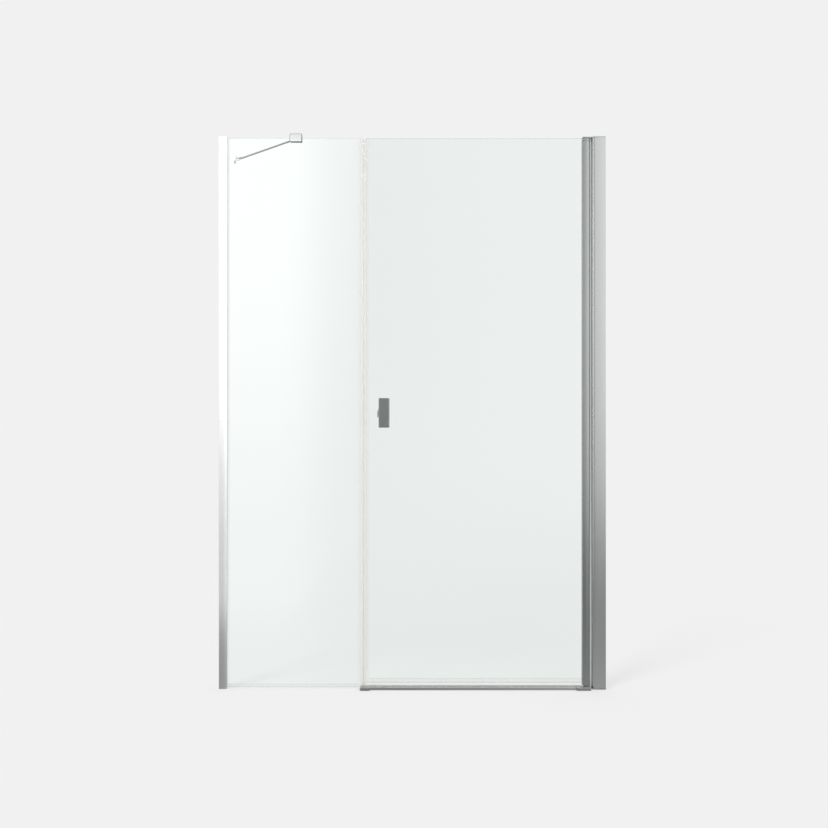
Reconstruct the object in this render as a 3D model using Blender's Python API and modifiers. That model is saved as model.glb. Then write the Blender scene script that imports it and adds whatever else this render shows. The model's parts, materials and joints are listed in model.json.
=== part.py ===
"""Shower door with a fixed side panel, for a niche between two walls.

X runs to the right along the front, Y runs back into the shower, Z is up.
The origin is on the shower tray, in the plane of the glass, at the middle of the niche.
"""
import math

import bmesh
import bpy
from mathutils import Matrix, Vector

# Overall sizes, in metres
NICHE_WIDTH = 1.400
PROFILE_HEIGHT = 2.000
GLASS_THICKNESS = 0.006
GLASS_ARRIS = 0.0006

# Clearances shared by all pieces
FIT_GAP = 0.0003
WELD_SHARE = 0.01
CUT_OVERRUN = 0.002

# Fixed side panel and its closing edge
SIDE_PANEL_WIDTH = 0.514
SIDE_GLASS_BOTTOM = 0.0053
SIDE_GLASS_TOP_DROP = 0.003
EDGE_DISTANCE = 0.020
MEETING_GAP = 0.0008

# Wall channel and glazing profile on the left wall
LEFT_COVER_WIDTH = 0.029
CHANNEL_REACH = 0.024
CHANNEL_DEPTH = 0.022
CHANNEL_WALL = 0.0015
GLAZING_SETBACK = 0.006
GLAZING_WALL = 0.0015
GASKET_WIDTH = 0.012
GASKET_NOSE_RADIUS = 0.0012
TOP_CAP_THICKNESS = 0.0027
TOP_CAP_CORNER = 0.002
TOP_CAP_PLUG_LENGTH = 0.012
TOP_CAP_PLUG_WIDTH = 0.012
SETTING_BLOCK_THICKNESS = 0.004
SETTING_BLOCK_HEIGHT = 0.040
SETTING_BLOCK_WIDTH = 0.010
SETTING_BLOCK_HEIGHT_SHARE = 0.90

# Screws through the profiles and holes for the wall fixings
PROFILE_SCREW_RADIUS = 0.0016
PROFILE_SCREW_HEAD_RADIUS = 0.0035
PROFILE_SCREW_HEAD_HEIGHT = 0.0018
PROFILE_SCREW_TIP = 0.0015
PROFILE_SCREW_INSET = 0.011
PROFILE_SCREW_HEIGHT_SHARES = (0.09, 0.47, 0.86)
WALL_HOLE_RADIUS = 0.0028
WALL_HOLE_HEIGHT_SHARES = (0.05, 0.35, 0.65, 0.95)

# Clear seals on the glass edges
SEAL_WALL = 0.0009
SEAL_GRIP = 0.010
SEAL_CHAMBER_WALL = 0.001
SEAL_BRIDGE = 0.0022
SWEEP_GRIP = 0.014
SWEEP_LIP_THICKNESS = 0.0012
SWEEP_LIP_LENGTH = 0.0064
SWEEP_BASE = 0.003

# Hinge post on the right wall
POST_WIDTH = 0.049
POST_DEPTH = 0.036
POST_WALL = 0.0016
POST_SHOULDER_RADIUS = 0.010
POST_CHANNEL_REACH = 0.024
POST_SCREW_INSET = 0.014

# Turning profile of the door
GROOVE_WIDTH = 0.0055
BARREL_RADIUS = 0.0125
TURNING_PROFILE_WIDTH = 0.029
TURNING_CORNER_RADIUS = 0.002
TURNING_BORE_RADIUS = 0.0055
DOOR_GASKET_THICKNESS = 0.0016
GLASS_TO_AXIS = 0.0075

# Pivots at the two ends of the turning profile
BRACKET_THICKNESS = 0.0035
BRACKET_SPIGOT_LENGTH = 0.012
BRACKET_SCREW_DROP = 0.006
BRACKET_SCREW_BITE = 0.004
PIVOT_RADIUS = 0.003
BUSH_WALL = 0.0013
BUSH_FLANGE_RADIUS = 0.0065
BUSH_FLANGE_THICKNESS = 0.0009
HINGE_CAP_ROOF = 0.0012
HINGE_PLUG_LENGTH = 0.015
BUSH_DEPTH = 0.0092
HINGE_SEAL_THICKNESS = 0.004
HINGE_SEAL_WIDTH = 0.0034

# Door leaf
DOOR_GLASS_TOP_DROP = 0.004

# Handle plates, one on each face of the door
HANDLE_WIDTH = 0.0385
HANDLE_HEIGHT = 0.107
HANDLE_PLATE = 0.007
HANDLE_CHAMFER = 0.0025
HANDLE_CENTRE_HEIGHT = 1.000
HANDLE_EDGE_DISTANCE = 0.064
HANDLE_POST_SPACING = 0.064
HANDLE_POST_RADIUS = 0.007
HANDLE_POST_LENGTH = 0.021
HANDLE_GROMMET_RADIUS = 0.008
HANDLE_GROMMET_FLANGE = 0.001
HANDLE_GLASS_HOLE_RADIUS = 0.006
HANDLE_BOLT_RADIUS = 0.003
HANDLE_BOLT_HEAD_RADIUS = 0.0055
HANDLE_BOLT_HEAD_DEPTH = 0.0025
THUMB_LIP_REACH = 0.004
THUMB_LIP_HEIGHT = 0.033
THUMB_LIP_TAPER = 0.012
THUMB_LIP_THICKNESS = 0.0035

# Threshold on the tray, under the door
THRESHOLD_HEIGHT = 0.012
THRESHOLD_FRONT = 0.026
THRESHOLD_BACK = 0.008
THRESHOLD_NOSE_HEIGHT = 0.0105
THRESHOLD_NOSE_RADIUS = 0.0025
THRESHOLD_SLOPE_END = 0.006
THRESHOLD_WALL = 0.0016
END_PIECE_HEIGHT = 0.011
END_PIECE_FRONT = 0.034
END_PIECE_CORNER = 0.006
END_PIECE_ROUNDING = 0.002
LEFT_END_PIECE_WIDTH = 0.036
LEFT_END_PIECE_LAP = 0.003
RIGHT_END_PIECE_WIDTH = 0.054

# Support bar from the side panel's top edge back to the left wall
BAR_DISTANCE_FROM_WALL = 0.2785
BAR_ABOVE_GLASS = 0.006
BAR_RADIUS = 0.006
BAR_WALL = 0.001
BAR_WALL_BRACKET_BACK = 0.296
CLAMP_WIDTH = 0.045
CLAMP_DEPTH = 0.024
CLAMP_BELOW_GLASS_TOP = 0.0145
CLAMP_ABOVE_GLASS = 0.015
CLAMP_ROUNDING = 0.0012
CLAMP_LINER_THICKNESS = 0.0015
CLAMP_LINER_MARGIN = 0.003
CLAMP_SCREW_RADIUS = 0.003
CLAMP_SCREW_SPACING = 0.024
CLAMP_SCREW_SINK = 0.0005
CLAMP_PIVOT_STANDOFF = 0.009
EYE_THICKNESS = 0.005
EYE_SHOULDER = 0.0012
EYE_NECK = 0.012
EYE_COLLAR = 0.004
EYE_PLUG_LENGTH = 0.014
LUG_THICKNESS = 0.004
SWIVEL_PIN_RADIUS = 0.0025
SWIVEL_HEAD_RADIUS = 0.0042
SWIVEL_HEAD_HEIGHT = 0.0018
FLANGE_RADIUS = 0.018
FLANGE_THICKNESS = 0.004
FLANGE_COVER_CLEARANCE = 0.001
FLANGE_COVER_HEIGHT = 0.006
FLANGE_COVER_WALL = 0.001
FLANGE_COVER_OPENING = 0.0098
FLANGE_HOLE_RADIUS = 0.0022
FLANGE_HOLE_CIRCLE = 0.0115
WALL_PIVOT_STANDOFF = 0.016

# Smoothness of round work
ROUND_STEPS = 24
SMALL_ROUND_STEPS = 12
ARC_STEPS = 5
SHARP_ANGLE = math.radians(35)

# Places worked out from the sizes
LEFT_WALL_X = -NICHE_WIDTH / 2
RIGHT_WALL_X = NICHE_WIDTH / 2
GLASS_HALF = GLASS_THICKNESS / 2
SEAL_INNER_HALF = GLASS_HALF + FIT_GAP
GLASS_POCKET_HALF = SEAL_INNER_HALF + DOOR_GASKET_THICKNESS + FIT_GAP
SEAL_OUTER_HALF = SEAL_INNER_HALF + SEAL_WALL
LEFT_MOUTH_X = LEFT_WALL_X + LEFT_COVER_WIDTH
CHANNEL_INNER_HALF = CHANNEL_DEPTH / 2 - CHANNEL_WALL
GLAZING_HALF = CHANNEL_INNER_HALF - FIT_GAP
GLAZING_INNER_HALF = GLAZING_HALF - GLAZING_WALL
GLAZING_WEB_X = LEFT_WALL_X + GLAZING_SETBACK
GLAZING_WEB_FACE_X = GLAZING_WEB_X + GLAZING_WALL
SIDE_GLASS_LEFT = GLAZING_WEB_FACE_X + SETTING_BLOCK_THICKNESS + 2 * FIT_GAP
SIDE_GLASS_RIGHT = LEFT_WALL_X + SIDE_PANEL_WIDTH
SIDE_GLASS_TOP = PROFILE_HEIGHT - SIDE_GLASS_TOP_DROP
BAR_HEIGHT = SIDE_GLASS_TOP + BAR_ABOVE_GLASS
EYE_RADIUS = BAR_RADIUS - EYE_SHOULDER
CLAMP_BOTTOM = SIDE_GLASS_TOP - CLAMP_BELOW_GLASS_TOP
CLAMP_TOP = SIDE_GLASS_TOP + CLAMP_ABOVE_GLASS
LEFT_PROFILE_TOP = PROFILE_HEIGHT - TOP_CAP_THICKNESS - FIT_GAP
DOOR_GLASS_LEFT = SIDE_GLASS_RIGHT + EDGE_DISTANCE
POST_LEFT_X = RIGHT_WALL_X - POST_WIDTH
AXIS_X = POST_LEFT_X - GROOVE_WIDTH - BARREL_RADIUS
TURNING_LEFT_X = AXIS_X + BARREL_RADIUS - TURNING_PROFILE_WIDTH
DOOR_GLASS_RIGHT = AXIS_X - GLASS_TO_AXIS
DOOR_GLASS_TOP = PROFILE_HEIGHT - DOOR_GLASS_TOP_DROP
UPPER_BRACKET_FACE = PROFILE_HEIGHT - BRACKET_THICKNESS
LOWER_BOSS_TOP = END_PIECE_HEIGHT
BUSH_RADIUS = PIVOT_RADIUS + FIT_GAP + BUSH_WALL
HINGE_CAP_HEIGHT = BUSH_DEPTH + FIT_GAP + HINGE_CAP_ROOF
CAP_START = BUSH_FLANGE_THICKNESS + 2 * FIT_GAP
CAP_END = CAP_START + HINGE_CAP_HEIGHT
PIVOT_REACH = CAP_START + BUSH_DEPTH - FIT_GAP
TURNING_BOTTOM = LOWER_BOSS_TOP + CAP_END + FIT_GAP
TURNING_TOP = UPPER_BRACKET_FACE - CAP_END - FIT_GAP
POST_BOTTOM = BRACKET_THICKNESS + FIT_GAP
POST_TOP = UPPER_BRACKET_FACE - FIT_GAP
POST_HALF = POST_DEPTH / 2
POST_CHANNEL_HALF = POST_HALF - POST_WALL - FIT_GAP
SWEEP_BOTTOM = THRESHOLD_HEIGHT + FIT_GAP
SWEEP_BASE_BOTTOM = SWEEP_BOTTOM + SWEEP_LIP_LENGTH
DOOR_GLASS_BOTTOM = SWEEP_BASE_BOTTOM + SWEEP_BASE + FIT_GAP
LEFT_END_PIECE_X = SIDE_GLASS_RIGHT - LEFT_END_PIECE_LAP
RIGHT_END_PIECE_X = POST_LEFT_X - GROOVE_WIDTH
THRESHOLD_LEFT = LEFT_END_PIECE_X + LEFT_END_PIECE_WIDTH + FIT_GAP
THRESHOLD_RIGHT = RIGHT_END_PIECE_X - RIGHT_END_PIECE_WIDTH - FIT_GAP
HANDLE_X = DOOR_GLASS_LEFT + HANDLE_EDGE_DISTANCE
HANDLE_POST_START = GLASS_HALF + HANDLE_GROMMET_FLANGE + 2 * FIT_GAP
HANDLE_FACE = HANDLE_POST_START + HANDLE_POST_LENGTH
CLAMP_X = LEFT_WALL_X + BAR_DISTANCE_FROM_WALL
CLAMP_HALF_DEPTH = CLAMP_DEPTH / 2
CLAMP_SLOT_HALF = GLASS_HALF + CLAMP_LINER_THICKNESS + 2 * FIT_GAP
CLAMP_PIVOT = Vector((CLAMP_X, CLAMP_HALF_DEPTH + CLAMP_PIVOT_STANDOFF, BAR_HEIGHT))
WALL_PIVOT = Vector((LEFT_WALL_X + WALL_PIVOT_STANDOFF, BAR_WALL_BRACKET_BACK, BAR_HEIGHT))


# Materials

def hex_to_linear(code):
    channels = [int(code[i:i + 2], 16) / 255 for i in (0, 2, 4)]
    return [c / 12.92 if c <= 0.04045 else ((c + 0.055) / 1.055) ** 2.4 for c in channels] + [1.0]


def finish(name, code, roughness, metallic=0.0, transmission=0.0, alpha=1.0):
    """A plain surface: colour, gloss, and how far light goes through."""
    material = bpy.data.materials.new(name)
    material.use_nodes = True
    shader = material.node_tree.nodes["Principled BSDF"]
    shader.inputs["Base Color"].default_value = hex_to_linear(code)
    shader.inputs["Roughness"].default_value = roughness
    shader.inputs["Metallic"].default_value = metallic
    shader.inputs["Transmission Weight"].default_value = transmission
    shader.inputs["Alpha"].default_value = alpha
    material.diffuse_color = hex_to_linear(code)[:3] + [alpha]
    return material


FINISHES = {
    "anodised": ("B4B7BA", 0.30, 1.0),
    "chrome": ("D8DADC", 0.08, 1.0),
    "satin_chrome": ("8F9295", 0.30, 1.0),
    "steel": ("A9ABAD", 0.35, 1.0),
    "glass": ("E9F2EE", 0.02, 0.0, 1.0, 0.35),
    "clear_vinyl": ("E4E8E6", 0.25, 0.0, 0.7, 0.6),
    "grey_plastic": ("8A8D90", 0.45),
    "black_rubber": ("2B2C2D", 0.70),
    "grey_rubber": ("A6A8A8", 0.65),
    "white_plastic": ("E2E2DF", 0.45),
    "magnet": ("D6D6D2", 0.60),
}


# Construction helpers

def collection(name):
    made = bpy.data.collections.new(name)
    bpy.context.scene.collection.children.link(made)
    return made


def coat(obj, material_name):
    """Each piece gets its own copy of its finish."""
    obj.data.materials.clear()
    obj.data.materials.append(finish(obj.name + "_" + material_name, *FINISHES[material_name]))


def smooth(obj):
    obj.data.shade_smooth()
    obj.data.set_sharp_from_angle(angle=SHARP_ANGLE)


def solid(name, mesh, material_name, matrix=None):
    """One named piece with its finish."""
    obj = bpy.data.objects.new(name, mesh)
    PARTS.objects.link(obj)
    obj.matrix_world = matrix or Matrix.Identity(4)
    coat(obj, material_name)
    return obj


def along_z(start, x=0.0, y=0.0):
    """Outline X and Y stay X and Y, and the piece rises from start."""
    return Matrix.Translation((x, y, start))


def along_x(start, y=0.0, z=0.0):
    """Outline X and Y become Y and Z, and the piece runs to +X from start."""
    turn = Matrix(((0, 0, 1), (1, 0, 0), (0, 1, 0))).to_4x4()
    return Matrix.Translation((start, y, z)) @ turn


def along_minus_y(start, x=0.0, z=0.0):
    """Outline X and Y become X and Z, and the piece runs to the front from start."""
    return Matrix.Translation((x, start, z)) @ Matrix.Rotation(math.pi / 2, 4, "X")


def prism(outlines, matrix, length):
    """Mesh of a flat outline, with any holes, drawn out by length from matrix's origin."""
    curve = bpy.data.curves.new("outline", "CURVE")
    curve.dimensions = "2D"
    curve.fill_mode = "BOTH"
    curve.extrude = length / 2
    for points in outlines:
        spline = curve.splines.new("POLY")
        spline.points.add(len(points) - 1)
        for point, (x, y) in zip(spline.points, points):
            point.co = (x, y, 0.0, 1.0)
        spline.use_cyclic_u = True
    holder = bpy.data.objects.new("outline", curve)
    bpy.context.scene.collection.objects.link(holder)
    holder.matrix_world = matrix @ Matrix.Translation((0.0, 0.0, length / 2))
    bpy.context.view_layer.update()
    seen = holder.evaluated_get(bpy.context.evaluated_depsgraph_get())
    mesh = bpy.data.meshes.new_from_object(seen)
    mesh.transform(holder.matrix_world)
    bpy.data.objects.remove(holder)
    bpy.data.curves.remove(curve)
    weld(mesh)
    return mesh


def weld(mesh):
    work = bmesh.new()
    work.from_mesh(mesh)
    bmesh.ops.remove_doubles(work, verts=work.verts, dist=FIT_GAP * WELD_SHARE)
    bmesh.ops.recalc_face_normals(work, faces=work.faces)
    work.to_mesh(mesh)
    work.free()


def box_mesh(low, high):
    """Closed box between two corners."""
    low, high = Vector(low), Vector(high)
    work = bmesh.new()
    size = Matrix.Diagonal((*(high - low), 1.0))
    bmesh.ops.create_cube(work, size=1.0, matrix=Matrix.Translation((low + high) / 2) @ size)
    mesh = bpy.data.meshes.new("box")
    work.to_mesh(mesh)
    work.free()
    return mesh


def rod_mesh(start, end, radius, steps=ROUND_STEPS):
    """Closed cylinder from one point to another."""
    start, end = Vector(start), Vector(end)
    run = end - start
    turn = run.to_track_quat("Z", "Y").to_matrix().to_4x4()
    work = bmesh.new()
    bmesh.ops.create_cone(work, cap_ends=True, segments=steps, radius1=radius, radius2=radius,
                          depth=run.length, matrix=Matrix.Translation((start + end) / 2) @ turn)
    mesh = bpy.data.meshes.new("rod")
    work.to_mesh(mesh)
    work.free()
    return mesh


def turned_mesh(profile, matrix, steps=ROUND_STEPS):
    """Closed mesh of a profile of radius and height that starts and ends on the matrix's Z axis."""
    work = bmesh.new()
    corners = [work.verts.new((radius, 0.0, height)) for radius, height in profile]
    edges = [work.edges.new(pair) for pair in zip(corners, corners[1:])]
    bmesh.ops.spin(work, geom=corners + edges, cent=(0.0, 0.0, 0.0), axis=(0.0, 0.0, 1.0),
                   angle=2 * math.pi, steps=steps, use_merge=True)
    mesh = bpy.data.meshes.new("turned")
    work.to_mesh(mesh)
    work.free()
    mesh.transform(matrix)
    weld(mesh)
    return mesh


def turned(name, profile, matrix, material_name, closed=False, steps=ROUND_STEPS):
    """A profile of radius and height, turned about the matrix's own Z axis."""
    work = bmesh.new()
    corners = [work.verts.new((radius, 0.0, height)) for radius, height in profile]
    for first, second in zip(corners, corners[1:]):
        work.edges.new((first, second))
    if closed:
        work.edges.new((corners[-1], corners[0]))
    mesh = bpy.data.meshes.new(name)
    work.to_mesh(mesh)
    work.free()
    obj = solid(name, mesh, material_name, matrix)
    screw = obj.modifiers.new("turn", "SCREW")
    screw.steps = screw.render_steps = steps
    screw.use_merge_vertices = True
    screw.merge_threshold = FIT_GAP * WELD_SHARE
    smooth(obj)
    return obj


def joined_mesh(meshes):
    """Several separate closed shapes held in one mesh, as one cutting tool."""
    work = bmesh.new()
    for mesh in meshes:
        work.from_mesh(mesh)
        bpy.data.meshes.remove(mesh)
    joined = bpy.data.meshes.new("group")
    work.to_mesh(joined)
    work.free()
    return joined


def shape_with(obj, mesh, operation):
    """Adds or takes away a shape, kept as a live Boolean."""
    tool = bpy.data.objects.new(obj.name + "_" + operation.lower(), mesh)
    CUTTERS.objects.link(tool)
    tool.hide_render = True
    tool.display_type = "WIRE"
    change = obj.modifiers.new(operation.lower(), "BOOLEAN")
    change.operation = operation
    change.solver = "EXACT"
    change.object = tool


def cut(obj, *meshes):
    shape_with(obj, joined_mesh(meshes), "DIFFERENCE")


def add(obj, *meshes):
    for mesh in meshes:
        shape_with(obj, mesh, "UNION")


def round_edges(obj, width, segments=1):
    bevel = obj.modifiers.new("edges", "BEVEL")
    bevel.width = width
    bevel.segments = segments
    bevel.limit_method = "ANGLE"
    bevel.angle_limit = SHARP_ANGLE


def arc(centre, radius, start, end, steps=ARC_STEPS):
    """Points on a round stretch, angles in degrees."""
    angles = [math.radians(start + (end - start) * i / steps) for i in range(steps + 1)]
    return [(centre[0] + radius * math.cos(a), centre[1] + radius * math.sin(a)) for a in angles]


def circle(centre, radius, steps=ROUND_STEPS):
    return arc(centre, radius, 0, 360, steps)[:-1]


def rectangle(left, bottom, right, top):
    return [(left, bottom), (right, bottom), (right, top), (left, top)]


def channel_outline(web, mouth, half, wall):
    """U section with its web at web and its open side at mouth."""
    inner = web + math.copysign(wall, mouth - web)
    return [(web, -half), (mouth, -half), (mouth, -half + wall), (inner, -half + wall),
            (inner, half - wall), (mouth, half - wall), (mouth, half), (web, half)]


def mirrored(points):
    """The same outline on the other side of the glass."""
    return [(x, -y) for x, y in points]


def heights(shares, bottom, top):
    return [bottom + share * (top - bottom) for share in shares]


# Left wall channel, glazing profile and what they hold

def left_profiles():
    length = LEFT_PROFILE_TOP
    channel = solid("left_wall_channel", prism([channel_outline(
        LEFT_WALL_X, LEFT_WALL_X + CHANNEL_REACH, CHANNEL_DEPTH / 2, CHANNEL_WALL)],
        along_z(0.0), length), "anodised")
    glazing = solid("left_glazing_profile", prism([channel_outline(
        GLAZING_WEB_X, LEFT_MOUTH_X, GLAZING_HALF, GLAZING_WALL)], along_z(0.0), length), "anodised")
    screw_x = LEFT_WALL_X + PROFILE_SCREW_INSET
    screw_heights = heights(PROFILE_SCREW_HEIGHT_SHARES, 0.0, length)
    cut(channel, *[screw_hole(screw_x, CHANNEL_DEPTH / 2, GLAZING_INNER_HALF, z) for z in screw_heights],
        *wall_holes(LEFT_WALL_X, CHANNEL_WALL, length))
    cut(glazing, *[screw_hole(screw_x, CHANNEL_DEPTH / 2, GLAZING_INNER_HALF, z) for z in screw_heights])
    profile_screws("left_profile_screw", screw_x, CHANNEL_DEPTH / 2, GLAZING_INNER_HALF, screw_heights)


def wall_holes(wall_x, thickness, length):
    """Round holes through a channel's web, for the fixings into the wall."""
    inward = -math.copysign(1.0, wall_x)
    outside = wall_x - inward * CUT_OVERRUN
    inside = wall_x + inward * (thickness + CUT_OVERRUN)
    return [rod_mesh((outside, 0.0, z), (inside, 0.0, z), WALL_HOLE_RADIUS, SMALL_ROUND_STEPS)
            for z in heights(WALL_HOLE_HEIGHT_SHARES, 0.0, length)]


def screw_hole(x, outer_face, inner_face, z):
    return rod_mesh((x, inner_face - CUT_OVERRUN, z), (x, outer_face + CUT_OVERRUN, z),
                    PROFILE_SCREW_RADIUS + FIT_GAP, SMALL_ROUND_STEPS)


def profile_screws(name, x, face, inner_face, screw_heights):
    """Pan-head screws that hold one profile inside the other, seen from inside the shower."""
    seat = face + FIT_GAP
    head = seat + PROFILE_SCREW_HEAD_HEIGHT
    tip = inner_face - PROFILE_SCREW_TIP
    profile = [(0.0, head), (PROFILE_SCREW_HEAD_RADIUS, head), (PROFILE_SCREW_HEAD_RADIUS, seat),
               (PROFILE_SCREW_RADIUS, seat), (PROFILE_SCREW_RADIUS, tip), (0.0, tip)]
    for number, z in enumerate(screw_heights, 1):
        at = Matrix.Translation((x, 0.0, z)) @ Matrix.Rotation(-math.pi / 2, 4, "X")
        turned(f"{name}_{number}", profile, at, "steel", steps=SMALL_ROUND_STEPS)


def left_gaskets():
    """Wedge strips that grip the glass on both faces at the profile's mouth."""
    outer = GLAZING_INNER_HALF - FIT_GAP
    start = LEFT_MOUTH_X - GASKET_WIDTH
    nose = (LEFT_MOUTH_X - GASKET_NOSE_RADIUS, -outer + GASKET_NOSE_RADIUS)
    front = [(start, -outer), *arc(nose, GASKET_NOSE_RADIUS, -90, 0),
             (LEFT_MOUTH_X, -SEAL_INNER_HALF), (start, -SEAL_INNER_HALF)]
    for name, outline in (("left_gasket_front", front), ("left_gasket_rear", mirrored(front))):
        solid(name, prism([outline], along_z(0.0), LEFT_PROFILE_TOP), "grey_rubber")


def left_setting_blocks():
    """Packers that keep the glass off the profile's web and off the tray."""
    half_width = SETTING_BLOCK_WIDTH / 2
    left = GLAZING_WEB_FACE_X + FIT_GAP
    right = left + SETTING_BLOCK_THICKNESS
    low = SETTING_BLOCK_HEIGHT_SHARE * SIDE_GLASS_TOP
    solid("left_upper_setting_block", box_mesh((left, -half_width, low),
                                               (right, half_width, low + SETTING_BLOCK_HEIGHT)),
          "white_plastic")
    corner = solid("left_corner_setting_block", box_mesh((left, -half_width, 0.0),
                                                         (right, half_width, SETTING_BLOCK_HEIGHT)),
                   "white_plastic")
    foot_end = LEFT_MOUTH_X - GASKET_WIDTH - FIT_GAP
    add(corner, box_mesh(((left + right) / 2, -half_width, 0.0),
                         (foot_end, half_width, SIDE_GLASS_BOTTOM - FIT_GAP)))


def left_top_cap():
    half = CHANNEL_DEPTH / 2
    corner = TOP_CAP_CORNER
    outline = [(LEFT_WALL_X, -half), *arc((LEFT_MOUTH_X - corner, -half + corner), corner, -90, 0),
               *arc((LEFT_MOUTH_X - corner, half - corner), corner, 0, 90), (LEFT_WALL_X, half)]
    bottom = LEFT_PROFILE_TOP + FIT_GAP
    cap = solid("left_top_cap", prism([outline], along_z(bottom), TOP_CAP_THICKNESS), "grey_plastic")
    plug_left = LEFT_WALL_X + CHANNEL_WALL + FIT_GAP
    plug_half = TOP_CAP_PLUG_WIDTH / 2
    add(cap, box_mesh((plug_left, -plug_half, bottom - TOP_CAP_PLUG_LENGTH),
                      (GLAZING_WEB_X - FIT_GAP, plug_half, bottom + TOP_CAP_THICKNESS / 2)))


# Glass panes and the seals on them

def pane(name, left, right, bottom, top):
    obj = solid(name, box_mesh((left, -GLASS_HALF, bottom), (right, GLASS_HALF, top)), "glass")
    round_edges(obj, GLASS_ARRIS)
    return obj


def edge_channel(base_bottom, base_top, top, lip=()):
    """U section, open upwards, that grips a pane's bottom edge; lip is an outline under its base."""
    return [(-SEAL_OUTER_HALF, base_bottom), *lip, (SEAL_OUTER_HALF, base_bottom), (SEAL_OUTER_HALF, top),
            (SEAL_INNER_HALF, top), (SEAL_INNER_HALF, base_top), (-SEAL_INNER_HALF, base_top),
            (-SEAL_INNER_HALF, top), (-SEAL_OUTER_HALF, top)]


def side_panel():
    pane("side_panel_glass", SIDE_GLASS_LEFT, SIDE_GLASS_RIGHT, SIDE_GLASS_BOTTOM, SIDE_GLASS_TOP)
    left = LEFT_MOUTH_X + FIT_GAP
    length = SIDE_GLASS_RIGHT - SEAL_GRIP - FIT_GAP - left
    outline = edge_channel(0.0, SIDE_GLASS_BOTTOM - FIT_GAP, SIDE_GLASS_BOTTOM + SEAL_GRIP)
    solid("side_panel_bottom_seal", prism([outline], along_x(left), length), "clear_vinyl")
    closing_seal("side_panel", SIDE_GLASS_RIGHT, 0.0, 0.0, SIDE_GLASS_TOP)


def closing_seal(owner, edge, turn, bottom, top):
    """Clear strip that grips a glass edge and carries a magnetic strip in its nose."""
    reach = (EDGE_DISTANCE - MEETING_GAP) / 2
    base = FIT_GAP
    outline = [(-SEAL_GRIP, -SEAL_OUTER_HALF), (reach, -SEAL_OUTER_HALF), (reach, SEAL_OUTER_HALF),
               (-SEAL_GRIP, SEAL_OUTER_HALF), (-SEAL_GRIP, SEAL_INNER_HALF), (base, SEAL_INNER_HALF),
               (base, -SEAL_INNER_HALF), (-SEAL_GRIP, -SEAL_INNER_HALF)]
    start = base + SEAL_BRIDGE
    end = reach - SEAL_CHAMBER_WALL
    half = SEAL_OUTER_HALF - SEAL_CHAMBER_WALL
    chamber = rectangle(start, -half, end, half)
    magnet = rectangle(start + FIT_GAP, -half + FIT_GAP, end - FIT_GAP, half - FIT_GAP)
    at = Matrix.Translation((edge, 0.0, bottom)) @ Matrix.Rotation(turn, 4, "Z")
    solid(owner + "_closing_seal", prism([outline, chamber], at, top - bottom), "clear_vinyl")
    solid(owner + "_magnet_strip", prism([magnet], at, top - bottom), "magnet")


# Support bar, its clamp and its wall bracket

def clamp():
    """Saddle that sits on the top edge of the side panel, with a fork behind it."""
    half_width = CLAMP_WIDTH / 2
    body = solid("bar_clamp_body", box_mesh((CLAMP_X - half_width, -CLAMP_HALF_DEPTH, CLAMP_BOTTOM),
                                            (CLAMP_X + half_width, CLAMP_HALF_DEPTH, CLAMP_TOP)), "chrome")
    round_edges(body, CLAMP_ROUNDING, 2)
    to_body = Vector((0.0, -1.0, 0.0))
    add(body, *[fork_lug(CLAMP_PIVOT, to_body, CLAMP_PIVOT_STANDOFF + CLAMP_ROUNDING, z)
                for z in lug_levels()])
    slot_top = SIDE_GLASS_TOP + CLAMP_LINER_THICKNESS + 2 * FIT_GAP
    screw_z = (CLAMP_BOTTOM + SIDE_GLASS_TOP) / 2
    screw_xs = [CLAMP_X + side * CLAMP_SCREW_SPACING / 2 for side in (-1, 1)]
    cut(body, box_mesh((CLAMP_X - half_width - CUT_OVERRUN, -CLAMP_SLOT_HALF, CLAMP_BOTTOM - CUT_OVERRUN),
                       (CLAMP_X + half_width + CUT_OVERRUN, CLAMP_SLOT_HALF, slot_top)))
    cut(body, *[rod_mesh((x, 0.0, screw_z), (x, CLAMP_HALF_DEPTH + CUT_OVERRUN, screw_z),
                         CLAMP_SCREW_RADIUS + FIT_GAP, SMALL_ROUND_STEPS) for x in screw_xs])
    cut(body, swivel_hole(CLAMP_PIVOT))
    for number, x in enumerate(screw_xs, 1):
        solid(f"bar_clamp_screw_{number}", rod_mesh(
            (x, CLAMP_SLOT_HALF, screw_z), (x, CLAMP_HALF_DEPTH - CLAMP_SCREW_SINK, screw_z),
            CLAMP_SCREW_RADIUS, SMALL_ROUND_STEPS), "steel")
    inner = GLASS_HALF + FIT_GAP
    outer = inner + CLAMP_LINER_THICKNESS
    roof = SIDE_GLASS_TOP + FIT_GAP
    low = CLAMP_BOTTOM + CLAMP_LINER_MARGIN
    high = roof + CLAMP_LINER_THICKNESS
    liner = [(-outer, low), (-inner, low), (-inner, roof), (inner, roof), (inner, low), (outer, low),
             (outer, high), (-outer, high)]
    liner_half = half_width - CLAMP_LINER_MARGIN
    solid("bar_clamp_liner", prism([liner], along_x(CLAMP_X - liner_half), 2 * liner_half), "black_rubber")
    swivel_pin("bar_clamp_pin", CLAMP_PIVOT)


def lug_levels():
    """Undersides of a fork's two lugs, one below and one above the eye."""
    half = EYE_THICKNESS / 2 + FIT_GAP
    return (BAR_HEIGHT - half - LUG_THICKNESS, BAR_HEIGHT + half)


def tongue_outline(reach):
    """Round end about the pivot, running straight to reach along local X."""
    return [*arc((0.0, 0.0), EYE_RADIUS, 90, 270, 2 * ARC_STEPS), (reach, -EYE_RADIUS), (reach, EYE_RADIUS)]


def facing(pivot, direction, z):
    """Frame at the pivot with local X along direction and local Z up."""
    turn = Matrix.Rotation(math.atan2(direction.y, direction.x), 4, "Z")
    return Matrix.Translation((pivot.x, pivot.y, z)) @ turn


def fork_lug(pivot, direction, reach, z):
    return prism([tongue_outline(reach)], facing(pivot, direction, z), LUG_THICKNESS)


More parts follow.
